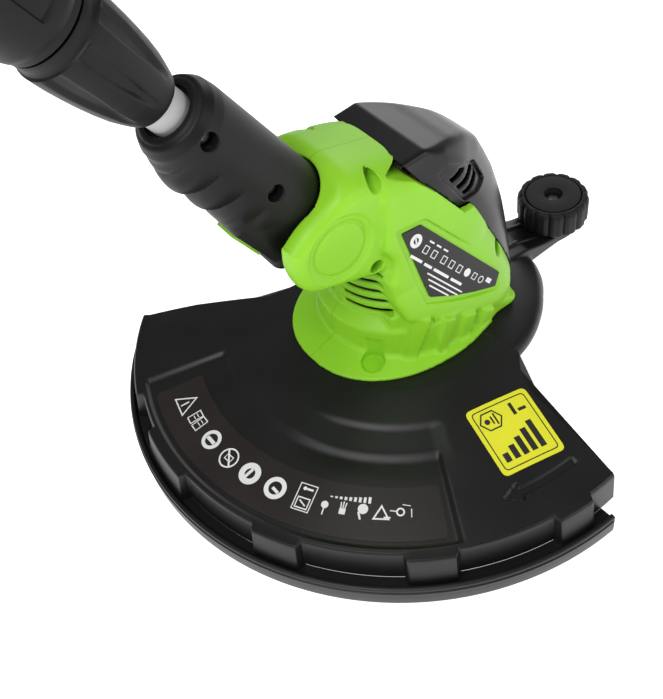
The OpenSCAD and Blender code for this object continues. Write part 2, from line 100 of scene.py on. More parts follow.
class Wire:
    def __init__(self, tree, socket=None):
        self.tree, self.socket = tree, socket

    def make(self, kind, inputs=None, settings=None, output=0):
        node = self.tree.nodes.new(kind)
        for key, value in (settings or {}).items():
            setattr(node, key, value)
        for key, value in (inputs or {}).items():
            if isinstance(value, Wire):
                self.tree.links.new(value.socket, node.inputs[key])
            else:
                node.inputs[key].default_value = value
        return Wire(self.tree, node.outputs[output])

    def maths(self, operation, first, second=0.0):
        return self.make("ShaderNodeMath", {0: first, 1: second}, {"operation": operation})

    def __add__(self, other):
        return self.maths("ADD", self, other)

    __radd__ = __add__

    def __mul__(self, other):
        return self.maths("MULTIPLY", self, other)

    __rmul__ = __mul__

    def __sub__(self, other):
        return self.maths("SUBTRACT", self, other)

    def __rsub__(self, other):
        return self.maths("SUBTRACT", other, self)

    def above(self, level, soft):
        limits = {"Value": self, "From Min": level - soft, "From Max": level + soft}
        return self.make("ShaderNodeMapRange", limits, {"interpolation_type": "SMOOTHSTEP"})

    def blend(self, first, second):
        node = self.tree.nodes.new("ShaderNodeMix")
        node.data_type = "RGBA"
        self.tree.links.new(self.socket, node.inputs["Factor"])
        for key, value in ((6, first), (7, second)):
            if isinstance(value, Wire):
                self.tree.links.new(value.socket, node.inputs[key])
            else:
                node.inputs[key].default_value = value
        return Wire(self.tree, node.outputs[2])


def grey(level):
    return (level, level, level, 1)


# Each finish: colour, second colour, roughness and its spread, grain size and depth in mm, and what else is fixed
finishes = {
    "limeShell": {"colour": (0.262, 0.60, 0.022, 1), "shade": (0.240, 0.565, 0.019, 1), "rough": 0.45,
                  "spread": 0.10, "grain": 0.45, "depth": 0.010, "gloss": 0.32},
    "satinBlack": {"colour": grey(0.0050), "shade": grey(0.0072), "rough": 0.40, "spread": 0.10, "grain": 0.5,
                   "depth": 0.014, "gloss": 0.34},
    "armBlack": {"colour": grey(0.0045), "shade": grey(0.0062), "rough": 0.46, "spread": 0.10, "grain": 0.4,
                 "depth": 0.012, "gloss": 0.2},
    "domeBlack": {"colour": grey(0.0060), "shade": grey(0.0080), "rough": 0.30, "spread": 0.08, "grain": 0.6,
                  "depth": 0.006, "gloss": 0.27},
    "wheelBlack": {"colour": grey(0.0065), "shade": grey(0.0095), "rough": 0.56, "spread": 0.10, "grain": 0.35,
                   "depth": 0.016, "gloss": 0.22},
    "gripRubber": {"colour": grey(0.008), "shade": grey(0.012), "rough": 0.66, "spread": 0.12, "grain": 0.3,
                   "depth": 0.02, "gloss": 0.34},
    "labelFilm": {"colour": (0.016, 0.0125, 0.0115, 1), "shade": (0.020, 0.016, 0.0145, 1), "rough": 0.36,
                  "spread": 0.08, "grain": 0.25, "depth": 0.003, "gloss": 0.34},
    "plateFilm": {"colour": grey(0.006), "shade": grey(0.008), "rough": 0.40, "spread": 0.06, "grain": 0.25,
                  "depth": 0.003, "gloss": 0.34},
    "yellowFilm": {"colour": (0.78, 0.76, 0.030, 1), "shade": (0.72, 0.70, 0.026, 1), "rough": 0.38,
                   "spread": 0.06, "grain": 0.25, "depth": 0.003},
    "whiteInk": {"colour": grey(0.80), "shade": grey(0.72), "rough": 0.45, "spread": 0.06, "grain": 0.2,
                 "depth": 0.002},
    "blackInk": {"colour": grey(0.012), "shade": grey(0.018), "rough": 0.45, "spread": 0.06, "grain": 0.2,
                 "depth": 0.002},
    "paleTube": {"colour": grey(0.50), "shade": grey(0.45), "rough": 0.32, "spread": 0.10, "grain": 0.3,
                 "depth": 0.003},
    "darkTube": {"colour": grey(0.035), "shade": grey(0.045), "rough": 0.34, "spread": 0.10, "grain": 0.3,
                 "depth": 0.005},
    "screwSteel": {"colour": grey(0.62), "shade": grey(0.50), "rough": 0.28, "spread": 0.16, "grain": 0.3,
                   "depth": 0.004, "metal": 1.0},
    # the stator's laminated steel, coloured far darker than bare steel: painted shade for the dark inside of the
    # motor housing
    "shadedLaminations": {"colour": grey(0.05), "shade": grey(0.03), "rough": 0.5, "spread": 0.15, "grain": 0.5,
                    "depth": 0.02, "metal": 1.0},
    "copperWire": {"colour": (0.72, 0.30, 0.12, 1), "shade": (0.55, 0.20, 0.07, 1), "rough": 0.35,
                   "spread": 0.12, "grain": 0.4, "depth": 0.02, "metal": 1.0},
    "brass": {"colour": (0.70, 0.48, 0.18, 1), "shade": (0.58, 0.38, 0.13, 1), "rough": 0.34, "spread": 0.10,
              "grain": 0.4, "depth": 0.006, "metal": 1.0},
    "carbon": {"colour": grey(0.03), "shade": grey(0.045), "rough": 0.6, "spread": 0.1, "grain": 0.3,
               "depth": 0.01},
    "nylonLine": {"colour": (0.75, 0.20, 0.02, 1), "shade": (0.68, 0.16, 0.015, 1), "rough": 0.35,
                  "spread": 0.08, "grain": 0.3, "depth": 0.004},
}
cloud = {"scale": 28.0, "detail": 3.0, "middle": 0.5, "soft": 0.22}  # the slow change of colour in every finish
made = {}


def finish(name):
    if name in made:
        return made[name]
    look = finishes[name]
    material = bpy.data.materials.new(name)
    material.use_nodes = True
    tree = material.node_tree
    shader = tree.nodes["Principled BSDF"]
    start = Wire(tree)
    place = start.make("ShaderNodeTexCoord", output="Object")
    fine = {"Vector": place, "Scale": 1 / (look["grain"] * mm), "Detail": 2.0}
    grain = start.make("ShaderNodeTexNoise", fine)
    slow = {"Vector": place, "Scale": cloud["scale"], "Detail": cloud["detail"]}
    broad = start.make("ShaderNodeTexNoise", slow)
    cloudy = broad.above(cloud["middle"], cloud["soft"])
    colour = cloudy.blend(look["colour"], look["shade"])
    tree.links.new(colour.socket, shader.inputs["Base Color"])
    rough = look["rough"] + (broad * 0.6 + grain * 0.4 - 0.5) * look["spread"] * 2
    tree.links.new(rough.socket, shader.inputs["Roughness"])
    bump = start.make("ShaderNodeBump", {"Height": grain, "Distance": look["depth"] * mm, "Strength": 1.0})
    tree.links.new(bump.socket, shader.inputs["Normal"])
    shader.inputs["Metallic"].default_value = look.get("metal", 0.0)
    shader.inputs["Specular IOR Level"].default_value = look.get("gloss", 0.5)
    made[name] = material
    return material


# A shape is a field that is negative inside; smoothMax cuts two shapes to what they share, with a soft edge
def smoothMax(a, b, width):
    near = np.maximum(width - np.abs(a - b), 0) / width
    return np.maximum(a, b) + near * near * width / 4


def smoothMin(a, b, width):
    return -smoothMax(-a, -b, width)


def ramp(value, start, end):
    t = np.clip((value - start) / (end - start), 0, 1)
    return t * t * (3 - 2 * t)


def onShaft(s, p):
    # s runs up along the shaft from the hinge, p across it towards the cover
    x = pivot[0] + p * math.cos(tilt) - s * math.sin(tilt)
    z = pivot[1] + p * math.sin(tilt) + s * math.cos(tilt)
    return (x, z)


def alongShaft(x, z):
    dx, dz = x - pivot[0], z - pivot[1]
    return dz * math.cos(tilt) - dx * math.sin(tilt), dx * math.cos(tilt) + dz * math.sin(tilt)


def softened(points, radius, steps=4):
    # the outline with each corner rounded
    out = []
    count = len(points)
    for i, here in enumerate(points):
        here = np.array(here, float)
        before, after = np.array(points[i - 1], float), np.array(points[(i + 1) % count], float)
        a, b = before - here, after - here
        la, lb = np.linalg.norm(a), np.linalg.norm(b)
        cut = min(radius, la * 0.45, lb * 0.45)
        first, last = here + a / la * cut, here + b / lb * cut
        for k in range(steps + 1):
            t = k / steps
            out.append((1 - t) ** 2 * first + 2 * t * (1 - t) * here + t * t * last)
    return np.array(out)


def outline(points, u, v):
    # distance from an outline, negative inside it
    best, within = None, None
    ends = np.roll(points, -1, axis=0)
    for (ax, ay), (bx, by) in zip(points, ends):
        ex, ey = bx - ax, by - ay
        t = np.clip(((u - ax) * ex + (v - ay) * ey) / (ex * ex + ey * ey + 1e-12), 0, 1)
        gap = (u - ax - t * ex) ** 2 + (v - ay - t * ey) ** 2
        best = gap if best is None else np.minimum(best, gap)
        if ay != by:
            crosses = ((ay > v) != (by > v)) & (u < ax + (v - ay) / (by - ay) * ex)
            within = crosses if within is None else within ^ crosses
    return np.sqrt(best) * np.where(within, -1.0, 1.0)


def netSurface(field, low, high, step):
    # Lays a net of quads over the surface where the field is zero
    nudge = 0.02
    low = np.array(low, float)
    counts = [int(math.ceil((b - a) / step)) + 1 for a, b in zip(low, high)]
    axes = [low[i] + step * np.arange(counts[i]) for i in range(3)]
    samples = field(axes[0][:, None, None], axes[1][None, :, None], axes[2][None, None, :])
    values = np.broadcast_to(samples, counts)
    inside = values < 0
    corners = np.array([(i, j, k) for i in (0, 1) for j in (0, 1) for k in (0, 1)])
    total = np.zeros([c - 1 for c in counts], np.int8)
    for i, j, k in corners:
        total += inside[i:counts[0] - 1 + i, j:counts[1] - 1 + j, k:counts[2] - 1 + k]
    cells = np.argwhere((total > 0) & (total < 8))
    index = np.full(total.shape, -1, np.int64)
    index[tuple(cells.T)] = np.arange(len(cells))
    held = np.stack([values[tuple((cells + c).T)] for c in corners], 1)
    place, hits = np.zeros((len(cells), 3)), np.zeros(len(cells))
    for a in range(8):
        for axis in range(3):
            if corners[a][axis] == 0:
                b = a + (4, 2, 1)[axis]
                cross = (held[:, a] < 0) != (held[:, b] < 0)
                t = np.where(cross, held[:, a] / np.where(cross, held[:, a] - held[:, b], 1), 0)
                place[cross] += corners[a]
                place[cross, axis] += t[cross]
                hits += cross
    points = low + step * (cells + place / hits[:, None])
    quads = []
    for axis in range(3):
        b, c = (axis + 1) % 3, (axis + 2) % 3
        ahead = [slice(None)] * 3
        behind = [slice(None)] * 3
        ahead[axis], behind[axis] = slice(1, None), slice(0, -1)
        nodes = np.argwhere(inside[tuple(behind)] != inside[tuple(ahead)])
        overB, overC = nodes[:, b], nodes[:, c]
        keep = (overB > 0) & (overC > 0) & (overB < counts[b] - 1) & (overC < counts[c] - 1)
        nodes = nodes[keep]
        stepB, stepC = np.eye(3, dtype=int)[b], np.eye(3, dtype=int)[c]
        around = [index[tuple((nodes - off).T)] for off in (stepB + stepC, stepC, 0 * stepB, stepB)]
        quad = np.stack(around, 1)
        back = ~inside[tuple(nodes.T)]
        quad[back] = quad[back][:, ::-1]
        quads.append(quad)
    quads = np.concatenate(quads)
    for _ in range(3):  # each pass draws the points closer to the surface
        value = field(*points.T)
        slope = [field(*(points + nudge * e).T) - field(*(points - nudge * e).T) for e in np.eye(3)]
        slope = np.stack(slope, 1) / (2 * nudge)
        move = -value[:, None] * slope / np.maximum((slope ** 2).sum(1), 0.05)[:, None]
        size = np.linalg.norm(move, axis=1, keepdims=True)
        points = points + move * np.minimum(1, 0.4 * step / np.maximum(size, 1e-9))
    return points, quads


def fromShaft(points):
    x, z = onShaft(points[:, 2], points[:, 0])
    return np.stack([x, points[:, 1], z], 1)


sharpAngle = 38


def makePiece(name, points, faces, material, sharp=sharpAngle, clean=True):
    points = np.array(points, float)
    points[:, 2] += rimUp
    mesh = bpy.data.meshes.new(name)
    mesh.from_pydata((points * mm).tolist(), [], [list(map(int, f)) for f in faces])
    if clean:
        work = bmesh.new()
        work.from_mesh(mesh)
        bmesh.ops.remove_doubles(work, verts=work.verts, dist=2e-6)
        bmesh.ops.dissolve_degenerate(work, edges=work.edges, dist=1e-6)
        bmesh.ops.recalc_face_normals(work, faces=work.faces)
        work.to_mesh(mesh)
        work.free()
    mesh.shade_smooth()
    mesh.set_sharp_from_angle(angle=math.radians(sharp))
    mesh.materials.append(finish(material))
    piece = bpy.data.objects.new(name, mesh)
    scene.collection.objects.link(piece)
    return piece


def halves(names, points, quads, material, gap=0.1):
    # Cuts each half clean at the joint and closes it; a half shape is mirrored for its far side
    points = np.array(points, float)
    points[:, 2] += rimUp
    mirrored = points[:, 1].max() < 10
    pieces = []
    for name, way in zip(names, (1, -1)):
        mesh = bpy.data.meshes.new(name)
        mesh.from_pydata((points * mm).tolist(), [], quads.tolist())
        work = bmesh.new()
        work.from_mesh(mesh)
        if mirrored and way < 0:
            for vert in work.verts:
                vert.co.y = -vert.co.y
            bmesh.ops.reverse_faces(work, faces=work.faces)
        everything = list(work.verts) + list(work.edges) + list(work.faces)
        cut = bmesh.ops.bisect_plane(work, geom=everything, dist=1e-7, plane_co=(0, -way * gap * mm, 0),
                                     plane_no=(0, way, 0), clear_outer=True)
        rim = [e for e in cut["geom_cut"] if isinstance(e, bmesh.types.BMEdge) and e.is_boundary]
        bmesh.ops.triangle_fill(work, edges=rim, normal=(0, way, 0), use_beauty=True)
        bmesh.ops.recalc_face_normals(work, faces=work.faces)
        work.to_mesh(mesh)
        work.free()
        mesh.shade_smooth()
        mesh.set_sharp_from_angle(angle=math.radians(sharpAngle))
        mesh.materials.append(finish(material))
        piece = bpy.data.objects.new(name, mesh)
        scene.collection.objects.link(piece)
        pieces.append(piece)
    return pieces


def gridFaces(rows, columns, wrapRows, wrapColumns, first=0):
    faces = []
    for i in range(rows if wrapRows else rows - 1):
        for j in range(columns if wrapColumns else columns - 1):
            a, b = i * columns + j, i * columns + (j + 1) % columns
            c, d = ((i + 1) % rows) * columns + (j + 1) % columns, ((i + 1) % rows) * columns + j
            faces.append((first + a, first + b, first + c, first + d))
    return faces


def latheRing(profile, steps, start=0.0, end=360.0, swell=None):
    # Turns a closed profile of radius and height about Z; swell adds to the radius at each angle
    full = abs(end - start) >= 360
    angles = np.radians(np.linspace(start, end, steps + (0 if full else 1), endpoint=not full))
    profile = np.array(profile, float)
    radius = np.repeat(profile[None, :, 0], len(angles), 0)
    height = np.repeat(profile[None, :, 1], len(angles), 0)
    if swell is not None:
        radius = radius + swell(np.degrees(angles)[:, None], profile[None, :, 0], profile[None, :, 1])
    points = np.stack([radius * np.cos(angles)[:, None], radius * np.sin(angles)[:, None], height], 2)
    rows, columns = len(angles), len(profile)
    faces = gridFaces(rows, columns, full, True)
    if not full:
        faces.append(tuple(range(columns)))
        faces.append(tuple(range((rows - 1) * columns, rows * columns))[::-1])
    return points.reshape(-1, 3), faces


def done(piece, body, slot, *nodes):
    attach(piece, body)
    if nodes:
        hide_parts(*nodes)
    return piece


makeCamera()
makeLights()
print("camera and lights ready")


housing = {
    "step": 0.75, "foot": 47.3, "coverFoot": 47.6,
    "skirtReach": 61.5, "skirtFront": 57.5, "skirtHalf": 50.5,
    "wallRadius": 44.6, "drumRadius": 38.6, "earHalf": 31.0, "panelTop": 34.0, "panelDraft": 0.128,
    "slotHeights": (80.3, 87.0, 93.7, 100.4, 107), "slotHigh": 2.05,
    "screws": ((-28.6, 165.6), (-33.8, 118.6)), "frontScrews": ((42.6, 83.4), (50.0, 56.0)),
    "screwRadius": 3.8, "screwFloor": 18.0, "discRadius": 14.6, "dishRadius": 18.5, "dishDeep": 0.7,
    "well": (-40.2, -27.2), "wellRadius": 6.2, "wellFloor": 49.0,
    # each pad: its two angles at the foot, its two angles at the top, and the height of its top
    "pads": ((233.4, 243, 240.3, 253.4, 76), (256, 265, 262.5, 274, 70), (275.5, 284.6, 279, 289.5, 63),
             (293, 301, 295, 303, 58)),
}
earSide = softened([(-74, 124.5), (-79.5, 143), (-77, 160), onShaft(23.5, -19), onShaft(25.5, -6),
                    onShaft(22.8, 7), onShaft(22.5, 16), onShaft(23.5, 32), onShaft(2.5, 55),
                    onShaft(-20, 55), (-4, 150), (-8, 120), (-26, 108.5)], 9)
panelSide = softened([onShaft(6, 58), onShaft(-55, 62), onShaft(-104, 60), onShaft(-135, 52), (66, 47.3),
                      (40, 47.3), (34, 53), (17, 61), (3, 66.5), (-12, 75), (-25, 80), (-30, 95),
                      (-31, 108), (-27.5, 113), (-27, 121), (-31, 128), (-29.5, 138), (-28.5, 147),
                      (-29, 156), (-26, 163), (-23, 169)], 3, 3)
plateSide = softened([(-8.6, 132.4), (-20.4, 133.6), (-10.2, 88.6), (5, 80), (18, 74.2), (31.8, 69.2),
                      (35.6, 76.4)], 0.8, 2)
recessSide = softened([(-6.5, 135.4), (-24.2, 137.6), (-13.0, 85.8), (4, 77.4), (18, 71.6), (33.6, 66.6),
                       (40.2, 76.4)], 2.0, 3)
fluteTop = softened([(-30, 47.3), (-30, 80), (-25, 82), (-12, 77), (3, 68.5), (17, 63), (34, 55), (60, 48),
                     (60, 47.3)], 1, 2)
hollowSide = softened([(-14, 90), (-12, 120), onShaft(-6, 60), onShaft(-90, 60), (44, 68), (40, 56),
                       (30, 54), (0, 60)], 3, 3)
slotSide = softened([(-3, 21.4), (80, 21.4), (120, -60), (22, -115), (-19.3, -23.8), (-18.4, -13.9)], 2, 3)


def panelHalf(z):
    return housing["panelTop"] + housing["panelDraft"] * np.clip(150 - z, 0, 85)


def skirtPlan(x, y):
    # an egg-shaped foot, a little fuller behind the shaft
    power = np.where(x < 0, 2.2, 2.0)
    long = np.where(x < 0, housing["skirtReach"], housing["skirtFront"])
    share = (np.abs(x) / long) ** power + (np.abs(y) / housing["skirtHalf"]) ** power
    return housing["skirtReach"] + (share ** (1 / power) - 1) * 55


def seamHeight(s):
    # where the cover meets the lime shell
    along = (-3, 0, 9, 25, 50, 54, 92, 104, 125, 150)
    return np.interp(-s, along, (36.5, 38.0, 43.4, 46.4, 48.5, 54.0, 51.0, 50.2, 48.3, 46.0))


def domeCross(s, p, side):
    half = 27.5 + 6.5 * ramp(-s, 4, 40) - 4 * ramp(-s, 84, 140)
    along = (0, 8, 22, 42, 62, 77, 96, 115, 135, 150)
    crest = np.interp(-s, along, (60, 63, 73, 83, 86.5, 84, 77, 69.5, 62, 57))
    arch = ((side / half) ** 2.8 + (np.maximum(p - 55.5, 0) / np.maximum(crest - 55.5, 1)) ** 2.8) - 1
    return smoothMax(arch * half / 2.8, (side - half + p - 60.5) * 0.707, 1.6), half


domeEnd = [(4.0, 36), (-7.2, 56.8), (-8.0, 57.9), (-9.0, 58.8)]  # the sloping face at the shaft end
domeBack = softened([(-8.6, 58.6), (-23, 70), (-42, 80.5), (-60, 84.6), (-77, 82.2), (-96, 74.9),
                     (-115, 67.4), (-135, 59), (-150, 54), (-152, 40)], 6, 4)
domeSide = np.concatenate([domeEnd, domeBack[5:]])  # the first rounded corner is the end face's own
windowSide = softened([(-23, 52.6), (-23.5, 59.2), (-47, 71.5), (-60, 69), (-51, 52.8)], 1.2, 2)


seamGap = 0.12


def domeShape(p, y, s, grow=0.0):
    side = np.abs(y)
    x, z = onShaft(s, p)
    cross, half = domeCross(s, p, side)
    body = smoothMax(outline(domeSide, s, p), cross, 3.0)
    reach = np.interp(z, (50, 58, 80, 100, 120, 136), (72, 71, 68, 64.5, 60, 54)) - 32
    body = smoothMax(body, np.hypot(np.maximum(x - reach, 0), y) - 32, 6)
    body = np.maximum(body, housing["coverFoot"] - z)
    return np.maximum(body - grow, seamHeight(s) + seamGap - p)


def housingField(x, y, z):
    side = np.abs(y)
    radius = np.hypot(x, y)
    angle = np.degrees(np.arctan2(y, x)) % 360
    s, p = alongShaft(x, z)
    panel = smoothMax(outline(panelSide, x, z), (side - panelHalf(z)) * 0.99, 4)
    nose = np.hypot(np.maximum(x - 12, 0), y) - (52 - 0.3 * np.clip(z - 60, 0, 40))
    panel = smoothMax(panel, nose, 7)
    ear = smoothMax(outline(earSide, x, z), side - housing["earHalf"], 8)
    body = smoothMin(panel, ear, 2.5)
    # the roof over the arm slopes back and falls away at both sides
    fall = 10.0 * np.minimum(side / 31, 1.12) ** 4 * ramp(s, -26, -6)
    body = smoothMax(body, (p + 0.95 * s - 46.5 + fall) / 1.4, 4.0)
    plan = skirtPlan(x, y)
    skirt = np.maximum(np.maximum(housing["foot"] - z, plan - housing["skirtReach"]),
                       (z - 49 - 0.36 * (housing["skirtReach"] - plan)) * 0.94)
    # raised pads under the panel, leaning with their tops towards the front
    turned = np.where(y > 0, 360 - angle, angle)
    rib = np.zeros_like(turned + z)
    for lowStart, lowEnd, highStart, highEnd, top in housing["pads"]:
        up = np.clip((z - 53) / (top - 53), -0.3, 1.2)
        start, end = lowStart + (highStart - lowStart) * up, lowEnd + (highEnd - lowEnd) * up
        rib = np.maximum(rib, ramp(turned, start - 3.2, start + 1.0) * (1 - ramp(turned, end - 0.5, end + 0.5)))
    across = np.where(x > -10, np.maximum(side, np.abs(x - 20) + 6), radius) - housing["wallRadius"]
    across = smoothMax(across, x - 52, 8)
    besides = ramp(x, -34, -24)
    wallTop = (z - 70.4 - 0.9 * (housing["wallRadius"] - radius)) * 0.75
    wall = smoothMax(radius - housing["wallRadius"], wallTop, 1.2)
    wall = smoothMax(wall, housing["foot"] - z, 0.5)
    onSide = smoothMax(across + besides * (1.6 - 3.2 * rib), outline(fluteTop, x, z), 2)
    drum = smoothMax(radius - housing["drumRadius"], np.maximum(z - 116, housing["foot"] - z), 2)
    body = smoothMin(body, drum, 1.5)
    body = smoothMin(body, wall, 1.0)
    body = smoothMin(body, onSide, 1.5)
    body = smoothMin(body, skirt, 2.5)
    body = np.maximum(body, housing["foot"] - z)
    # recess for the plate, with a stepped edge
    recess = np.maximum(outline(recessSide, x, z), panelHalf(z) - 2.2 - side)
    body = smoothMax(body, -recess, 1.2)
    # groove round the pivot disc, in a shallow dish
    fromPivot = np.hypot(x - pivot[0] + 2.6, z - pivot[1])
    dish = smoothMax(fromPivot - housing["dishRadius"], housing["earHalf"] - housing["dishDeep"] - side, 1.5)
    body = smoothMax(body, -dish, 1.0)
    below = (side - housing["earHalf"] + housing["dishDeep"]) * 0.9
    groove = np.hypot(fromPivot - housing["discRadius"], below) - 0.85
    body = smoothMax(body, -groove, 0.8)
    for holeX, holeZ in housing["screws"] + housing["frontScrews"]:
        floorAt = housing["screwFloor"] - 2 * (holeZ > 160)  # the top hole is deeper
        bore = smoothMax(np.hypot(x - holeX, z - holeZ) - housing["screwRadius"], floorAt - side, 0.6)
        body = smoothMax(body, -bore, 0.9)
    wellX, wellY = housing["well"]
    well = np.hypot(x - wellX, y - wellY) - housing["wellRadius"]
    well = smoothMax(well, housing["wellFloor"] - z, 0.8)
    well = np.maximum(well, z - 64)
    body = smoothMax(body, -well, 1.0)
    # slots in the drum, closed off by the panel in front and the yoke above
    inSlot = np.maximum(np.maximum(186 - angle, angle - 229) * 0.68, 0)
    inSlot = np.minimum(inSlot, np.maximum(np.maximum(131 - angle, angle - 174) * 0.68, 0)) - 0.001
    for height in housing["slotHeights"]:
        slot = smoothMax(np.maximum(inSlot, 33 - radius), np.abs(z - height) - housing["slotHigh"], 0.8)
        slot = np.maximum(slot, radius - 42)
        body = smoothMax(body, -slot, 0.7)
    # room for the motor, the arm and the cover
    inner = smoothMax(radius - 35.5, np.maximum(z - 112, 46 - z), 3)
    front = smoothMax(smoothMax(outline(hollowSide, x, z), side - panelHalf(z) + 5.0, 3), nose + 5.0, 3)
    body = smoothMax(body, -smoothMin(inner, front, 2), 1.5)
    arm = np.maximum(outline(slotSide, s, p), np.where(p > 0, np.hypot(p, y) - 20.9, side - 20.7))
    arm = np.minimum(arm, np.maximum(np.hypot(s, p) - 23.2, side - 20.7))
    body = smoothMax(body, -arm, 1.0)
    # the cover stands behind a low lip at its shaft end
    return np.maximum(body, np.minimum(p - seamHeight(s) + seamGap, 4.3 - 0.536 * (p - 36) - s))


def makeHousing():
    points, quads = netSurface(housingField, (-84, -54, 45.5), (72, 54, 190), housing["step"])
    near, far = halves(("housingRight", "housingLeft"), points, quads, "limeShell")
    done(near, "head", "lime_plastic", "housing_right")
    done(far, "head", "lime_plastic", "housing_left")
    print("housing:", len(quads), "faces")


cover = {"step": 0.75, "slots": ((-34, -38), (-41.5, -45.5), (-48.5, -51.5)), "slotWide": 1.7}


def coverField(p, y, s):
    side = np.abs(y)
    body = domeShape(p, y, s)
    recess = np.maximum(np.maximum(outline(windowSide, s, p), -body - 1.6), 12 - side)
    body = smoothMax(body, -recess, 0.7)
    window = outline(windowSide, s, p) + 2.4
    for low, high in cover["slots"]:
        lean = low + (high - low) * (p - 54) / 12
        slot = np.maximum(np.maximum(np.abs(s - lean) - cover["slotWide"], window), 10 - side)
        body = smoothMax(body, -slot, 0.6)
    hollow = domeShape(p, y, s, -3.2)
    hollow = np.maximum(hollow, -(p - 30))
    return smoothMax(body, -hollow, 0.8)


def makeCover():
    points, quads = netSurface(coverField, (45, -38, -140), (88, 38, 4), cover["step"])
    piece = makePiece("topCover", fromShaft(points), quads, "domeBlack", clean=False)
    done(piece, "head", "gloss_black", "top_cover")
    print("cover:", len(quads), "faces")


guard = {
    "hub": 47.0, "slope": 0.2, "nearX": 12.5, "stepAngle": 0.34,
    "blocks": ((134, 157.5), (167.5, 182), (201, 211), (231, 240.5), (260, 268)),  # angles of the thick spots
    "panel": (154.5, 241.5, 100, 147),  # from and to in degrees, inner and outer radius
    "arrow": (131.5, 271, 252.6),  # radius, then the angles of its tail and its tip
    "arrowHead": 9.5, "browRadius": 149.6, "blockOut": 4.0,
}


def guardEdges(r):
    far = np.interp(r, (61, 67, 75, 120, 150, 160), (123, 127.6, 131.0, 132.4, 134.4, 134.6))
    straight = 270 + np.degrees(np.arcsin(np.clip(guard["nearX"] / r, -1, 1)))
    nearHub = (61, 73, 75, 77, 80, 83, 87, 92)
    near = np.interp(r, nearHub, (289.7, 289.7, 287.6, 284.6, 282.3, 281.0, 279.4, 277.8))
    return far, np.where(r < 92, near, straight)


def guardTop(r, a):
    z = guard["hub"] - guard["slope"] * np.maximum(r - 62, 0)
    start, end, inner, outer = guard["panel"]
    panel = ramp(a, start - 0.9, start + 0.9) * (1 - ramp(a, end - 0.7, end + 0.9))
    z = z - 1.7 * panel * ramp(r, inner - 2.5, inner + 2.5) * (1 - ramp(r, outer - 1.5, outer + 0.5))
    z = z - 1.3 * ramp(a, 196, 212) * (1 - ramp(a, 240, 246)) * ramp(r, 82.0, 85.5) * (1 - ramp(r, 95, 112))
    middle, tail, tip = guard["arrow"]
    along = (tail - a) * math.radians(1) * middle
    whole = (tail - tip) * math.radians(1) * middle
    across = np.abs(r - middle)
    headLong = guard["arrowHead"]
    half = np.where(along < whole - headLong, 2.3, np.maximum(5.2 * (whole - along) / headLong, 0))
    gap = np.maximum(across - half, np.maximum(-along, along - whole))
    return z - 1.1 * (1 - ramp(gap, -0.5, 0.35))


def blockShare(a):
    share = 0
    for start, end in guard["blocks"]:
        share = np.maximum(share, ramp(a, start - 0.45, start + 0.45) * (1 - ramp(a, end - 0.45, end + 0.45)))
    return share


def makeGuard():
    # one closed section: the top from the hub out, over the brow, down the wall and back underneath
    radii = np.concatenate([np.linspace(61, 72, 10), np.arange(74, 80, 2), np.arange(80, 88, 0.9),
                            np.arange(88, 96, 1.6), np.arange(96, 104, 0.8), np.arange(104, 125, 2.0),
                            np.arange(125, 139, 0.55), np.arange(139, 144, 1.5), np.arange(144, 149, 0.7)])
    radii = np.unique(np.round(radii, 2))
    share = np.linspace(0, 1, int(142 / guard["stepAngle"]))
    rows = []
    for r in radii:
        far, near = guardEdges(np.array(r))
        a = far + (near - far) * share
        rows.append((np.full_like(a, r), a, guardTop(r, a)))
    far, near = guardEdges(np.array(149.4))
    a = far + (near - far) * share
    block = blockShare(a)
    edge = guardTop(148.9, a)
    brow = guard["browRadius"] + guard["blockOut"] * block
    for out, down in ((0.25, 0.15), (0.7, 0.5), (1.1, 1.1), (1.3, 1.9)):
        rows.append((brow + out - 1.0, a, edge - down - 0.2))
    foot = brow + 1.4 + 1.0 * block
    for t in (0.12, 0.3, 0.5, 0.7, 0.88, 1.0):
        rows.append((brow + 0.3 + (foot - brow - 0.3) * t, a, (edge - 2.1) * (1 - t) + 10.7 * t))
    for t in (0, 0.5, 1.0):
        rows.append((foot - 0.5 - 2.0 * t, a, np.full_like(a, 10.3 if t else 10.5)))
    for t in (0.2, 0.6, 1.0):
        rows.append((foot - 2.5 + (brow - 2.8 - foot + 2.5) * t, a, 10.5 + (edge - 5.2 - 10.5) * t))
    for r in radii[::-4]:
        if r < 147:
            far, near = guardEdges(np.array(r))
            a = far + (near - far) * share
            under = guard["hub"] - guard["slope"] * np.maximum(r - 62, 0) - 4.6
            rows.append((np.full_like(a, r), a, np.full_like(a, under)))
    r, a, z = (np.stack([row[k] for row in rows]) for k in range(3))
    points = np.stack([r * np.cos(np.radians(a)), r * np.sin(np.radians(a)), z], 2)
    count, columns = r.shape
    faces = gridFaces(count, columns, True, False)
    faces.append(tuple(i * columns for i in range(count)))
    faces.append(tuple(i * columns + columns - 1 for i in range(count))[::-1])
    hubSection = softened([(44, 42.6), (61.8, 42.6), (61.8, 47), (44, 47)], 0.6, 2)
    hub, hubFaces = latheRing(hubSection, 220, 70.3, 289.7)
    allPoints = np.concatenate([points.reshape(-1, 3), hub])
    faces += [tuple(i + count * columns for i in f) for f in hubFaces]
    piece = makePiece("guardShell", allPoints, faces, "satinBlack", 30)
    done(piece, "head", "black_plastic", "guard")
    print("guard:", len(faces), "faces")


rim = {
    "section": ((150.6, 7.6), (156.6, 7.6), (157.2, 0.2), (160, 0.2), (160, 12.6), (157.4, 12.9), (157.0, 10.3),
                (150.6, 10.3)),
    "bead": ((158.6, 8.2), (160.6, 8.4), (160.6, 10.0), (158.6, 10.2)),
    "from": 132.2, "to": 271.3, "beadInset": 0.4, "steps": 260,
}


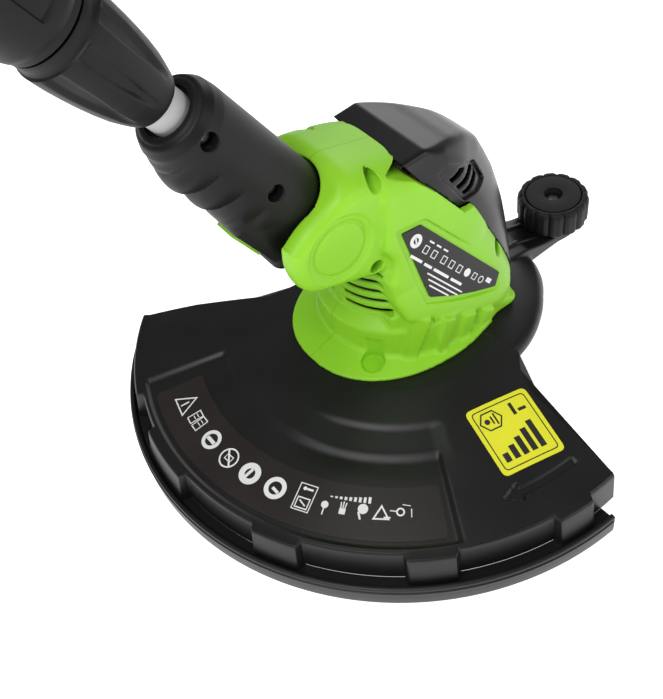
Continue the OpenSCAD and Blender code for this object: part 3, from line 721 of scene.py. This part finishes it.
def makeRim():
    look = rim
    points, faces = latheRing(softened(look["section"], 0.9, 3), look["steps"], look["from"], look["to"])
    lip, lipFaces = latheRing(softened(look["bead"], 0.5, 3), look["steps"], look["from"] + look["beadInset"],
                              look["to"] - look["beadInset"])
    faces = faces + [tuple(i + len(points) for i in f) for f in lipFaces]
    piece = makePiece("guardRim", np.concatenate([points, lip]), faces, "satinBlack", 35)
    done(piece, "head", "black_plastic", "guard_rim")
    print("rim:", len(faces), "faces")


bracket = {"step": 0.7, "padX": 118, "padRadius": 14.2, "hole": 3.3, "halfAngle": 69.8, "innerRadius": 45,
           "armHalf": 15.5, "underside": 31, "ribY": 6.5, "ribHalf": 1.1}


def bracketField(x, y, z):
    look = bracket
    radius = np.hypot(x, y)
    angle = np.degrees(np.arctan2(y, x))
    turned = (0, 15, 23, 33, 46, 61, 69, 80)
    reach = np.interp(np.abs(angle), turned, (88, 87, 84.7, 80.8, 77.5, 74.6, 73.0, 72.6))
    crown = 47 - 0.16 * np.maximum(radius - 56, 0) - 0.012 * np.maximum(radius - 66, 0) ** 2
    plate = smoothMax(radius - reach, z - crown, 5)
    plate = smoothMax(plate, 42.2 - 0.25 * np.maximum(radius - 56, 0) - z, 1)
    plate = np.maximum(plate, (np.abs(angle) - look["halfAngle"]) * radius * math.radians(1))
    plate = np.maximum(plate, look["innerRadius"] - radius)
    side = np.abs(y)
    armHalf = look["armHalf"] - 0.05 * np.maximum(x - 80, 0)
    reachOut = np.maximum(side - armHalf, np.maximum(70 - x, x - look["padX"]))
    fromPad = np.hypot(x - look["padX"], y)
    reachOut = smoothMin(reachOut, fromPad - look["padRadius"], 3)
    crest = np.interp(x, (70, 84, 97, 104, 140), (44.6, 42.4, 38.4, 36.9, 36.8))
    reachOut = smoothMax(reachOut, z - crest, 1.6)
    reachOut = smoothMax(reachOut, look["underside"] - z, 1.2)
    rib = np.maximum(np.abs(side - look["ribY"]) - look["ribHalf"], np.maximum(76 - x, x - 100))
    rib = np.maximum(rib, z - np.interp(x, (76, 84, 100), (45.2, 44.0, 38.0)))
    rib = np.maximum(rib, 36 - z)
    body = smoothMin(plate, smoothMin(reachOut, rib, 1.0), 2.5)
    return np.maximum(body, look["hole"] - fromPad)


def makeBracket():
    points, quads = netSurface(bracketField, (14, -74, 29.5), (134, 74, 49), bracket["step"])
    piece = makePiece("wheelBracket", points, quads, "satinBlack", clean=False)
    done(piece, "head", "black_plastic", "wheel_bracket")
    print("bracket:", len(quads), "faces")


wheel = {"x": 118.0, "base": 38.0, "lobes": 14, "high": 16.9, "floor": 14.9, "discRadius": 15.95}


def makeWheel():
    base = wheel["base"]
    top, inside = base + wheel["high"], base + wheel["floor"]
    section = softened([(3.1, base), (19.8, base), (20.9, base + 1.4), (21, base + 14.2), (19.6, top),
                        (16.45, top), (16.45, inside), (5.4, inside), (5.4, base + 9.8),
                        (3.1, base + 9.8)], 1.1, 3)

    def lobes(angle, radius, height):
        wave = np.abs(np.cos(np.radians(angle * wheel["lobes"] / 2)))
        dip = 1.75 * (1 - wave ** 0.55) + 0.25 * ramp(wave, 0.86, 1.0)
        return -dip * ramp(radius, 16.6, 19.2)

    points, faces = latheRing(section, 420, swell=lobes)
    points[:, 0] += wheel["x"]
    tyre = makePiece("edgeWheel", points, faces, "wheelBlack", 30)
    done(tyre, "edge_wheel", "black_plastic", "edge_wheel")
    low, high = base + 15.0, top + 0.15
    discSection = softened([(5.3, low), (wheel["discRadius"], low), (wheel["discRadius"], high), (5.3, high)],
                           0.45, 3)
    cap, capFaces = latheRing(discSection, 96)
    cap[:, 0] += wheel["x"]
    capPiece = makePiece("wheelDisc", cap, capFaces, "wheelBlack", 30)
    done(capPiece, "edge_wheel", "black_plastic", "wheel_cap")
    print("wheel ready")


arm = {"step": 0.7, "holes": ((47, 0.4), (95, 1.0)), "holeRadius": 4.1, "holeFloor": 11.5, "reach": 106.0,
       "fluteDeep": 5.0, "flutePitch": 16.5, "discRadius": 21, "discHalf": 19.8, "boreRadius": 10.0,
       "button": (27.3, 11.6, 6.5)}


def armField(p, y, s):
    side = np.abs(y)
    radius = np.hypot(p, y)
    under = np.degrees(np.arctan2(side, -p))
    body = radius - np.interp(s, (0, 94, 100, 104, 106), (20, 20, 19.3, 17.2, 14.6))
    grip = ramp(s, 30, 42) * (1 - ramp(s, 86, 98))
    wave = np.cos((s - 47.5 - 6 * ramp(under, 0, 70)) / arm["flutePitch"] * math.pi)
    ridge = arm["fluteDeep"] * np.abs(wave) ** 0.75 - arm["fluteDeep"]
    fade = 1 - ramp(under, 20, 78)
    body = body - grip * (ridge + arm["fluteDeep"]) * fade
    # the button's housing, under the arm
    keel = smoothMax(side - 15.5, -p - 25.9 - 2.0 * ramp(-s, -13, -8), 6)
    keelEnds = smoothMax(1 - s - 0.5 * (p + 20), s - 46 - 0.6 * (p + 26), 3)
    body = smoothMin(body, smoothMax(keel, np.maximum(p, keelEnds), 4), 2)
    body = smoothMax(body, s - arm["reach"], 2.0)
    eye = smoothMax(np.hypot(s, p) - arm["discRadius"], side - arm["discHalf"], 3)
    body = smoothMin(np.maximum(body, -s), eye, 1.5)
    mouth = smoothMax(radius - 11.6, 103.6 - s, 0.6)
    body = smoothMax(body, -mouth, 0.8)
    ring = np.hypot(radius - 15.6, s - 105.4) - 0.55
    body = smoothMax(body, -ring, 0.5)
    body = smoothMax(body, -np.maximum(radius - arm["boreRadius"], 30 - s), 0.5)
    for holeS, holeP in arm["holes"]:
        bore = np.hypot(s - holeS, p - holeP) - arm["holeRadius"]
        body = smoothMax(body, -smoothMax(bore, arm["holeFloor"] - side, 0.6), 0.9)
    middle, halfLong, halfWide = arm["button"]
    button = np.maximum(np.maximum(np.abs(s - middle) - halfLong, side - halfWide), p + 12)
    return smoothMax(body, -button, 0.6)


def makeArm():
    points, quads = netSurface(armField, (-31, -22, -23), (23, 2.5, 108), arm["step"])
    near, far = halves(("armRight", "armLeft"), fromShaft(points), quads, "armBlack", 0.06)
    done(near, "lower_shaft", "black_plastic", "arm_right")
    done(far, "lower_shaft", "black_plastic", "arm_left")
    print("arm:", len(quads), "faces")


def shaftTurned(name, profile, steps, material, swell=None):
    points, faces = latheRing(profile, steps, swell=swell)
    return makePiece(name, fromShaft(points), faces, material, 32)


def filledIn(profile, spacing, start=0.0, closed=True, coarseFrom=99, coarse=3):
    # extra points along a profile of radius and height, so that flutes have points to move
    dense = []
    count = len(profile)
    for i in range(count if closed else count - 1):
        radius, height = profile[i]
        nextRadius, nextHeight = profile[(i + 1) % count]
        steps = max(1, int(math.hypot(nextRadius - radius, nextHeight - height) / spacing))
        if i >= coarseFrom:
            steps = coarse
        dense += [(radius + (nextRadius - radius) * k / steps, start + height + (nextHeight - height) * k / steps)
                  for k in range(steps)]
    return dense if closed else dense + [profile[-1]]


collar = {
    "from": 115.2, "flutes": 8, "fluteDeep": 1.9, "steps": 288,
    "profile": ((10.6, 0), (11.6, 0), (12.6, 0.8), (13.6, 3), (15.2, 8), (16.6, 13), (17.9, 20), (19.0, 28),
                (19.9, 36), (20.5, 44), (20.7, 50), (20.6, 51.4), (19.6, 52.0), (19.2, 53.4), (19.2, 56.6),
                (19.0, 58), (12.95, 58), (12.95, 14), (10.6, 12)),
}


def makeCollar():
    look = collar
    pitch = 360 / look["flutes"]

    def flutes(angle, radius, height):
        h = height - look["from"]
        turn = ((angle + pitch / 2) % pitch - pitch / 2) / (pitch / 2)
        reach = ramp(h, 6, 22) * (1 - ramp(h, 50.5, 51.6))
        wide = 0.30 + 0.34 * ramp(h, 8, 40)
        dip = 1 - ramp(np.abs(turn), wide * 0.35, wide)
        return -look["fluteDeep"] * dip * reach * (radius > 13.2)

    dense = filledIn(look["profile"], 0.8, look["from"], coarseFrom=17)  # the bore needs few points
    piece = shaftTurned("lockCollar", dense, look["steps"], "armBlack", flutes)
    done(piece, "lock_collar", "black_plastic", "lock_collar")


sleeve = {
    "panelMiddle": 208, "panelHalf": 22, "panelDeep": 0.9, "steps": 240,
    "profile": ((13.1, 174), (18.6, 174), (19.4, 174.6), (19.4, 177.6), (20.6, 178.4), (21.4, 181), (21.8, 190),
                (21.7, 205), (21.0, 222), (19.4, 240), (17.4, 252), (16.0, 256), (15.6, 260), (13.1, 260)),
}


def makeSleeve():
    look = sleeve

    def panels(angle, radius, height):
        # a thumb panel on either side, sunk and rounded at both ends
        turn = np.minimum(np.abs((angle - 90) % 360), np.abs((angle - 270) % 360))
        turn = np.minimum(turn, 360 - turn)
        along = np.abs(height - look["panelMiddle"]) - look["panelHalf"]
        gap = np.maximum(turn * 0.37 - 11, along)
        return -look["panelDeep"] * (1 - ramp(gap, -1.0, 0.6)) * (radius > 18.5)

    dense = filledIn(look["profile"], 1.0, closed=False)
    piece = shaftTurned("outerSleeve", dense, look["steps"], "armBlack", panels)
    done(piece, "upper", "black_plastic", "outer_sleeve")
    print("collar and sleeve ready")


def loop(points, spacing=3.0):
    out = []
    for a, b in zip(points, list(points[1:]) + [points[0]]):
        steps = max(1, int(math.hypot(b[0] - a[0], b[1] - a[1]) / spacing))
        out += [(a[0] + (b[0] - a[0]) * k / steps, a[1] + (b[1] - a[1]) * k / steps) for k in range(steps)]
    return out


def disc(at, radius, steps=28):
    turns = [2 * math.pi * k / steps for k in range(steps)]
    return [loop([(at[0] + radius * math.cos(turn), at[1] + radius * math.sin(turn)) for turn in turns], 99)]


def bar(at, long, wide, turn=0.0):
    c, s = math.cos(math.radians(turn)), math.sin(math.radians(turn))
    corners = [(-long / 2, -wide / 2), (long / 2, -wide / 2), (long / 2, wide / 2), (-long / 2, wide / 2)]
    return [loop([(at[0] + u * c - v * s, at[1] + u * s + v * c) for u, v in corners], 4)]


def hoop(shape, width):
    # the outline of a shape, as a strip of the given width inside it
    points = np.array(shape[0])
    before, after = np.roll(points, 1, axis=0), np.roll(points, -1, axis=0)
    way = (after - before) / np.maximum(np.linalg.norm(after - before, axis=1, keepdims=True), 1e-9)
    inward = np.stack([-way[:, 1], way[:, 0]], 1)
    a, b = points - before, after - points
    a, b = a / np.linalg.norm(a, axis=1, keepdims=True), b / np.linalg.norm(b, axis=1, keepdims=True)
    stretch = 1 / np.maximum(np.sqrt(np.maximum((1 + (a * b).sum(1)) / 2, 0)), 0.4)
    return [(points.tolist(), (points + inward * width * stretch[:, None]).tolist())]


def markMesh(shapes, place, thick):
    # place turns a flat point and a lift into a point on the surface
    points, faces = [], []
    for shape in shapes:
        ring = isinstance(shape, tuple)
        loops = shape if ring else (shape,)
        count, first = len(loops[0]), len(points)
        for lift in (0, thick):
            for one in loops:
                points += [place(u, v, lift) for u, v in one]
        layers = len(loops)
        for j in range(count):
            k = (j + 1) % count
            if ring:
                o, i, oUp, iUp = (first + layer * count for layer in range(4))
                faces += [(oUp + j, oUp + k, iUp + k, iUp + j), (o + k, o + j, i + j, i + k),
                          (o + j, o + k, oUp + k, oUp + j), (i + k, i + j, iUp + j, iUp + k)]
            else:
                faces.append((first + j, first + k, first + count + k, first + count + j))
        if not ring:
            faces.append(tuple(range(first + count, first + 2 * count)))
            faces.append(tuple(range(first, first + count))[::-1])
    return points, faces


def skinMesh(edge, place, thick, rings=9):
    # a film with its rim at the given outline, lying on the surface
    edge = np.array(edge)
    middle = edge.mean(0)
    points, faces, count = [], [], len(edge)
    for lift in (thick, 0):
        for k in range(1, rings + 1):
            points += [place(u, v, lift) for u, v in middle + (edge - middle) * k / rings]
        points.append(place(middle[0], middle[1], lift))
    half = rings * count + 1
    for side in (0, 1):
        base = side * half
        for j in range(count):
            k = (j + 1) % count
            for ring in range(rings - 1):
                a, b = base + ring * count, base + (ring + 1) * count
                quad = (a + j, b + j, b + k, a + k)
                faces.append(quad if not side else quad[::-1])
            tri = (base + half - 1, base + j, base + k)
            faces.append(tri if not side else tri[::-1])
    outer, under = (rings - 1) * count, half + (rings - 1) * count
    faces += [(outer + j, under + j, under + (j + 1) % count, outer + (j + 1) % count) for j in range(count)]
    return points, faces


def placed(shapes, put):
    # flat shapes moved to their place by put
    return [tuple([put(*q) for q in part] for part in one) if isinstance(one, tuple) else [put(*q) for q in one]
            for one in shapes]


def onGuard(x, y, lift):
    r, a = math.hypot(x, y), math.degrees(math.atan2(y, x)) % 360
    return (x, y, float(guardTop(np.array(r), np.array(a))) + 0.05 + lift)


def onArc(radius, angle):
    # local marks on the long label: u runs along the arc, v outwards
    c, s = math.cos(math.radians(angle)), math.sin(math.radians(angle))
    return lambda u, v: (radius * c + v * c - u * s, radius * s + v * s + u * c)


guardLabel = {"inner": 115.5, "outer": 143.0, "from": 159.0, "to": 239.5, "corner": 2.0, "thick": 0.25,
              "ink": 0.12, "steps": 150, "columns": 13}


def makeGuardLabel():
    look = guardLabel
    count, columns = look["steps"], look["columns"]
    angles = np.linspace(look["from"], look["to"], count)
    # 2.2 mm lie on each degree of the label's arc
    fromEnd = np.clip(np.minimum(angles - look["from"], look["to"] - angles) * 2.2 / look["corner"], 0, 1)
    inset = look["corner"] * (1 - np.sqrt(np.clip(1 - (1 - fromEnd) ** 2, 0, 1)))
    points, faces = [], []
    for lift in (look["thick"], 0.0):
        for a, cut in zip(angles, inset):
            for r in np.linspace(look["inner"] + cut, look["outer"] - cut, columns):
                points.append(onGuard(r * math.cos(math.radians(a)), r * math.sin(math.radians(a)), lift))
    half = count * columns
    faces = gridFaces(count, columns, False, False)
    faces += [tuple(half + i for i in f[::-1]) for f in faces]
    edge = [i * columns for i in range(count)] + [(count - 1) * columns + j for j in range(1, columns)]
    edge += [i * columns + columns - 1 for i in range(count - 2, -1, -1)] + list(range(columns - 2, 0, -1))
    for here, ahead in zip(edge, edge[1:] + edge[:1]):
        faces.append((here, ahead, half + ahead, half + here))
    done(makePiece("guardLabelFilm", points, faces, "labelFilm"), "head", "dark_label", "guard_label")
    shapes = []

    def add(radius, angle, flat):
        shapes.extend(placed(flat, onArc(radius, angle)))

    def tri(size):
        return [loop([(0, -size), (size * 1.05, size * 0.85), (-size * 1.05, size * 0.85)][::-1], 99)]

    add(128.6, 165.6, hoop(tri(5.2), 0.75) + bar((0, 0.6), 0.9, 4.0) + bar((0, 3.0), 0.9, 0.9))
    add(127.8, 172.0, hoop(bar((-2.7, 0), 5.0, 8.4, 4), 0.6) + hoop(bar((2.7, 0), 5.0, 8.4, -4), 0.6)
        + bar((-2.7, -1.5), 2.6, 0.5) + bar((-2.7, 0.5), 2.6, 0.5) + bar((2.7, -1.5), 2.6, 0.5)
        + bar((2.7, 0.5), 2.6, 0.5))
    add(128.0, 179.2, hoop(disc((0, 0), 5.6), 2.0) + bar((0, 0.4), 6.4, 2.0))
    add(128.4, 186.4, hoop(disc((0, 0), 5.6), 0.85) + bar((0, 0), 10.4, 1.0, 45)
        + hoop(bar((0, 0), 4.6, 3.4), 0.5))
    add(128.4, 193.4, hoop(disc((0, 0), 6.0), 3.1) + bar((-0.6, 0), 1.6, 5.6, 12))
    add(128.6, 200.8, hoop(disc((0, 0), 6.0), 2.4) + bar((0.6, 1.0), 4.4, 1.6, 20))
    add(127.6, 208.2, hoop(bar((0, 0), 9.6, 14.4), 0.5) + hoop(bar((0, 3.0), 7.0, 6.0), 0.6)
        + bar((0, 3.0), 4.6, 0.7, 32) + disc((-1.6, -4.6), 1.0, 12) + bar((1.2, -4.6), 3.4, 1.1))
    for k in range(9):
        add(122.0, 214.2 + 1.12 * k, bar((0, 1.4 - 0.11 * k), 1.35, 0.6 + 0.33 * k))
    add(129.4, 213.2, disc((0, -1.2), 1.9, 14) + bar((0, 1.8), 0.7, 4.6))
    add(129.0, 217.4, bar((0, 0.8), 3.2, 3.0) + bar((-1.2, -2.2), 0.6, 3.2, -8) + bar((0, -2.6), 0.6, 3.4)
        + bar((1.2, -2.2), 0.6, 3.2, 8))
    add(128.6, 221.6, disc((0.6, -1.4), 2.6, 18) + bar((-0.8, 2.2), 1.0, 4.0, -20))
    add(128.8, 226.0, hoop(tri(2.9), 0.8) + bar((3.0, 2.0), 3.4, 0.7))
    add(128.0, 230.2, hoop(disc((0, 0), 2.2, 18), 0.8) + bar((-3.4, -0.6), 3.6, 0.5, 8)
        + bar((3.0, -3.4), 4.0, 0.4, 10) + bar((5.4, 0.6), 0.5, 4.4))
    points, faces = markMesh(shapes, lambda x, y, lift: onGuard(x, y, look["thick"] + lift), look["ink"])
    done(makePiece("guardLabelMarks", points, faces, "whiteInk"), "head", "dark_label")
    print("long label:", len(shapes), "marks")


squareLabel = {"middle": (-10.4, -102.6), "turn": -11.3, "long": 39.0, "wide": 35.4, "corner": 3.2,
               "thick": 0.3, "frame": 2.2, "ink": 0.1}


def makeSquareLabel():
    look = squareLabel
    c, s = math.cos(math.radians(look["turn"])), math.sin(math.radians(look["turn"]))

    def put(u, v):
        return (look["middle"][0] + u * c - v * s, look["middle"][1] + u * s + v * c)

    def frameLoop(grow, corner):
        u, v = look["wide"] / 2 + grow, look["long"] / 2 + grow
        return loop([tuple(q) for q in softened([(-u, -v), (u, -v), (u, v), (-u, v)], corner, 6)], 3.0)

    points, faces = skinMesh([put(*q) for q in frameLoop(0, look["corner"])], onGuard, look["thick"])
    done(makePiece("squareLabelFilm", points, faces, "yellowFilm"), "head", "yellow_label", "power_label")
    turns = [math.radians(60 * k) for k in range(6)]
    hexagon = [loop([(-7.6 + 6.6 * math.cos(turn), 10.0 + 6.0 * math.sin(turn)) for turn in turns], 99)]
    shapes = hoop([frameLoop(-look["frame"], look["corner"] - 0.6)], 0.55)
    shapes += hoop(hexagon, 0.75) + disc((-9.8, 10.0), 1.5, 16)
    shapes += bar((-6.9, 10.0), 0.9, 4.4) + bar((-4.9, 10.0), 0.9, 6.6)
    shapes += bar((5.6, 11.2), 1.9, 7.0) + bar((10.2, 9.4), 4.4, 1.7)
    for k in range(5):
        shapes += bar((-11.0 + 5.0 * k, -11.0 + 1.35 * k), 3.2, 5.0 + 2.7 * k)
    points, faces = markMesh(placed(shapes, put), lambda x, y, lift: onGuard(x, y, look["thick"] + lift),
                             look["ink"])
    done(makePiece("squareLabelMarks", points, faces, "blackInk"), "head", "yellow_label")
    print("square label:", len(shapes), "marks")


plate = {"corner": (-8.6, 132.4), "way": (0.62, -0.785), "down": (-0.785, -0.62), "sunk": 2.3, "thick": 0.8,
         "ink": 0.1}


def makePlate():
    look = plate
    way, down = look["way"], look["down"]
    cornerX, cornerZ = look["corner"]

    def onPanel(x, z, lift):
        return (x, -(float(panelHalf(np.array(z))) - look["sunk"] + lift), z)

    points, faces = skinMesh(loop([tuple(q) for q in plateSide], 4), onPanel, look["thick"], 4)
    done(makePiece("sidePlate", points, faces, "plateFilm"), "head", "dark_label", "rating_plate")

    def put(u, v):
        return (cornerX + u * way[0] + v * down[0], cornerZ + u * way[1] + v * down[1])

    shapes = hoop(disc((2.6, 7.8), 3.7), 2.0) + bar((2.6, 7.8), 4.6, 0.9, 40)
    for u in (13, 19, 25):
        shapes += bar((u, 4.4), 3.8, 0.9)
    for u in (12.0, 19.0, 27.5, 34.5, 41.5):
        shapes += hoop(bar((u, 9.0), 3.8, 4.2), 0.45)
    shapes += disc((48.5, 8.6), 2.3, 18) + hoop(bar((55, 8.4), 3.4, 3.8), 0.45)
    shapes += hoop(disc((61, 8.2), 2.0, 16), 0.5) + bar((67.0, 6.6), 4.0, 2.6)
    for u, v, long in ((9.4, 15.2, 9.6), (19.5, 15.4, 6.4), (31.0, 15.4, 13.0), (44.6, 15.4, 9.6)):
        shapes += bar((u, v), long, 1.5)
    for k, (start, long) in enumerate(((22.0, 31.0), (25.0, 26.0), (28.0, 17.0))):
        shapes += bar((start + long / 2, 18.6 + 2.4 * k), long, 0.8)
    points, faces = markMesh(placed(shapes, put), lambda x, z, lift: onPanel(x, z, look["thick"] + lift),
                             look["ink"])
    done(makePiece("sidePlateMarks", points, faces, "whiteInk"), "head", "dark_label")
    print("side plate:", len(shapes), "marks")


screw = {"head": 3.2, "high": 2.2, "shank": 1.6, "slot": 0.55, "slotReach": 1.9, "deep": 1.3, "steps": 34}
screwSets = {  # body, nodes, then places: head centre, way out of the surface, size, shank length
    "head": (("housing_screws", "guard_screws", "wheel_axle"),
             [((-28.6, -16.2, 165.6), (0, -1, 0), 1.0, 33), ((-33.8, -18.2, 118.6), (0, -1, 0), 1.0, 36),
              ((42.6, -18.2, 83.4), (0, -1, 0), 1.0, 36), ((50.0, -18.2, 56.0), (0, -1, 0), 1.0, 36),
              ((-40.2, -27.2, 42.0), (0, 0, -1), 1.0, 6), ((-40.2, 27.2, 42.0), (0, 0, -1), 1.0, 6),
              ((52.0, 0.0, 42.0), (0, 0, -1), 1.0, 6), ((118.0, 0.0, 48.1), (0, 0, 1), 1.35, 17)]),
    "lower_shaft": (("arm_screws",), [(onShaft(47, 0.4), -12.6), (onShaft(95, 1.0), -12.6)]),
}


def screwTemplate():
    look = screw
    mesh = bpy.data.meshes.new("screwTemplate")
    work = bmesh.new()
    rings = []
    # the head's top is a grid with a sunk cross
    count = look["steps"]
    reach = look["head"] * 0.96
    for i in range(count + 1):
        row = []
        for j in range(count + 1):
            u, v = (2 * i / count - 1), (2 * j / count - 1)
            # a square grid drawn onto a disc
            x = u * math.sqrt(max(1 - v * v / 2, 0)) * reach
            y = v * math.sqrt(max(1 - u * u / 2, 0)) * reach
            r = math.hypot(x, y)
            top = look["high"] - 0.35 * (r / reach) ** 3
            inside = min(max(abs(x) - look["slot"], abs(y) - look["slotReach"]),
                         max(abs(y) - look["slot"], abs(x) - look["slotReach"]))
            top -= look["deep"] * (1 if inside < -0.05 else (0 if inside > 0.12 else 0.5))
            row.append(work.verts.new((x, y, top)))
        rings.append(row)
    for i in range(count):
        for j in range(count):
            work.faces.new((rings[i][j], rings[i + 1][j], rings[i + 1][j + 1], rings[i][j + 1]))
    edge = [rings[i][0] for i in range(count)] + [rings[count][j] for j in range(count)]
    edge += [rings[i][count] for i in range(count, 0, -1)] + [rings[0][j] for j in range(count, 0, -1)]
    last = edge
    head, shank = look["head"], look["shank"]
    for r, h in ((head, look["high"] - 0.75), (head, 0), (shank, 0), (shank, -1)):
        fresh = []
        for vert in edge:
            long = math.hypot(vert.co.x, vert.co.y)
            fresh.append(work.verts.new((vert.co.x / long * r, vert.co.y / long * r, h)))
        for k in range(len(edge)):
            n = (k + 1) % len(edge)
            work.faces.new((last[k], fresh[k], fresh[n], last[n]))
        last = fresh
    work.faces.new(last)
    bmesh.ops.recalc_face_normals(work, faces=work.faces)
    for vert in work.verts:
        vert.co *= mm
    work.to_mesh(mesh)
    work.free()
    mesh.set_sharp_from_angle(angle=math.radians(40))
    template = bpy.data.objects.new("screwTemplate", mesh)
    scene.collection.objects.link(template)
    return template


def screwTree():
    tree = bpy.data.node_groups.new("screwSet", "GeometryNodeTree")
    tree.interface.new_socket("Places", in_out="INPUT", socket_type="NodeSocketGeometry")
    tree.interface.new_socket("Screw", in_out="INPUT", socket_type="NodeSocketObject")
    tree.interface.new_socket("Size", in_out="INPUT", socket_type="NodeSocketFloat")
    tree.interface.new_socket("Finish", in_out="INPUT", socket_type="NodeSocketMaterial")
    tree.interface.new_socket("Geometry", in_out="OUTPUT", socket_type="NodeSocketGeometry")
    into, out = tree.nodes.new("NodeGroupInput"), tree.nodes.new("NodeGroupOutput")
    info = tree.nodes.new("GeometryNodeObjectInfo")
    points = tree.nodes.new("GeometryNodeMeshToPoints")
    way = tree.nodes.new("GeometryNodeInputNamedAttribute")
    turn = tree.nodes.new("FunctionNodeAlignRotationToVector")
    stretch = tree.nodes.new("GeometryNodeInputNamedAttribute")
    scale = tree.nodes.new("ShaderNodeVectorMath")
    put = tree.nodes.new("GeometryNodeInstanceOnPoints")
    real = tree.nodes.new("GeometryNodeRealizeInstances")
    paint = tree.nodes.new("GeometryNodeSetMaterial")
    way.data_type = stretch.data_type = "FLOAT_VECTOR"
    way.inputs["Name"].default_value, stretch.inputs["Name"].default_value = "way", "stretch"
    turn.axis, scale.operation = "Z", "SCALE"
    link = tree.links.new
    link(into.outputs["Places"], points.inputs[0])
    link(into.outputs["Screw"], info.inputs["Object"])
    link(way.outputs["Attribute"], turn.inputs["Vector"])
    link(stretch.outputs["Attribute"], scale.inputs[0])
    link(into.outputs["Size"], scale.inputs["Scale"])
    link(points.outputs[0], put.inputs["Points"])
    link(info.outputs["Geometry"], put.inputs["Instance"])
    link(turn.outputs["Rotation"], put.inputs["Rotation"])
    link(scale.outputs["Vector"], put.inputs["Scale"])
    link(put.outputs[0], real.inputs[0])
    link(real.outputs[0], paint.inputs["Geometry"])
    link(into.outputs["Finish"], paint.inputs["Material"])
    link(paint.outputs[0], out.inputs[0])
    return tree


def makeScrews():
    template, tree = screwTemplate(), screwTree()
    for body, (nodes, rows) in screwSets.items():
        if body == "lower_shaft":
            rows = [((x, y, z), (0, -1, 0), 0.95, 22) for (x, z), y in rows]
        seeds = bpy.data.meshes.new(body + "ScrewPlaces")
        seeds.from_pydata([(x * mm, y * mm, (z + rimUp) * mm) for (x, y, z), _, _, _ in rows], [], [])
        way = seeds.attributes.new("way", "FLOAT_VECTOR", "POINT")
        stretch = seeds.attributes.new("stretch", "FLOAT_VECTOR", "POINT")
        for k, (_, direction, size, _) in enumerate(rows):
            way.data[k].vector = direction
            stretch.data[k].vector = (size, size, size)
        holder = bpy.data.objects.new(body + "ScrewPlaces", seeds)
        scene.collection.objects.link(holder)
        modifier = holder.modifiers.new("screws", "NODES")
        modifier.node_group = tree
        keys = {item.name: item.identifier for item in tree.interface.items_tree if item.in_out == "INPUT"}
        modifier[keys["Screw"]] = template
        modifier[keys["Size"]] = 1.0
        modifier[keys["Finish"]] = finish("screwSteel")
        graph = bpy.context.evaluated_depsgraph_get()
        mesh = bpy.data.meshes.new_from_object(holder.evaluated_get(graph))
        holder.modifiers.clear()
        bpy.data.objects.remove(holder)
        # the shanks are drawn out to their length
        per = len(mesh.vertices) // len(rows)
        for k, ((x, y, z), direction, size, shank) in enumerate(rows):
            at, out = Vector((x * mm, y * mm, (z + rimUp) * mm)), Vector(direction)
            for vert in mesh.vertices[k * per:(k + 1) * per]:
                if (vert.co - at).dot(out) < -0.5 * mm * size:
                    vert.co -= out * (shank - 1) * mm
        piece = bpy.data.objects.new(body + "Screws", mesh)
        scene.collection.objects.link(piece)
        done(piece, body, "zinc_steel", *nodes)
        print(body, "screws:", len(rows))
    bpy.data.objects.remove(template)


makeHousing()
makeCover()
makeGuard()
makeRim()
makeBracket()
makeWheel()
makeArm()
makeCollar()
makeSleeve()
makeGuardLabel()
makeSquareLabel()
makePlate()
makeScrews()

# the parts of the frame that keep their own shape
kept = {
    "limeShell": ("tilt_button", "trigger", "lock_button"),
    "satinBlack": ("base_plate", "cooling_fan", "spool_housing", "spool_cap", "spool", "bump_button",
                   "guide_bush", "collet", "coiled_lead", "handle_clamp", "rear_left", "rear_right",
                   "power_switch", "cord_gland"),
    "gripRubber": ("front_handle", "clamp_knob"),
    "paleTube": ("inner_tube",),
    "darkTube": ("outer_tube",),
    "screwSteel": ("upper_bearing", "lower_bearing", "line_cutter",
                   "cutter_screws", "motor_shaft", "line_eyelets", "bump_spring", "pivot_pin",
                   "tilt_spring", "clamp_bolt", "rear_screws", "trigger_spring", "armature"),
    # the stator takes the darkened steel, painted shade for the inside of the housing
    "shadedLaminations": ("stator",),
    "copperWire": ("field_coils", "commutator"),
    "brass": ("brush_holders",),
    "carbon": ("carbon_brushes",),
    "nylonLine": ("cutting_line", "wound_line"),
}
for look, names in kept.items():
    for name in names:
        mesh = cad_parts[name].data
        if not mesh.materials:
            mesh.materials.append(finish(look))
        for i in range(len(mesh.materials)):
            mesh.materials[i] = finish(look)

print("finishes ready")

floorReach, floorDown = 6, -0.0005  # in metres
corners = [(-1, -1), (1, -1), (1, 1), (-1, 1)]
floorMesh = bpy.data.meshes.new("floor")
floorMesh.from_pydata([(x * floorReach, y * floorReach, floorDown) for x, y in corners], [], [(0, 1, 2, 3)])
floor = bpy.data.objects.new("floor", floorMesh)
scene.collection.objects.link(floor)
pale = bpy.data.materials.new("paleFloor")
pale.use_nodes = True
paleShader = pale.node_tree.nodes["Principled BSDF"]
paleShader.inputs["Base Color"].default_value = (0.93, 0.93, 0.93, 1)
paleShader.inputs["Roughness"].default_value = 0.9
paleShader.inputs["Emission Color"].default_value = (1, 1, 1, 1)
paleShader.inputs["Emission Strength"].default_value = studio["floor"]
floorMesh.materials.append(pale)
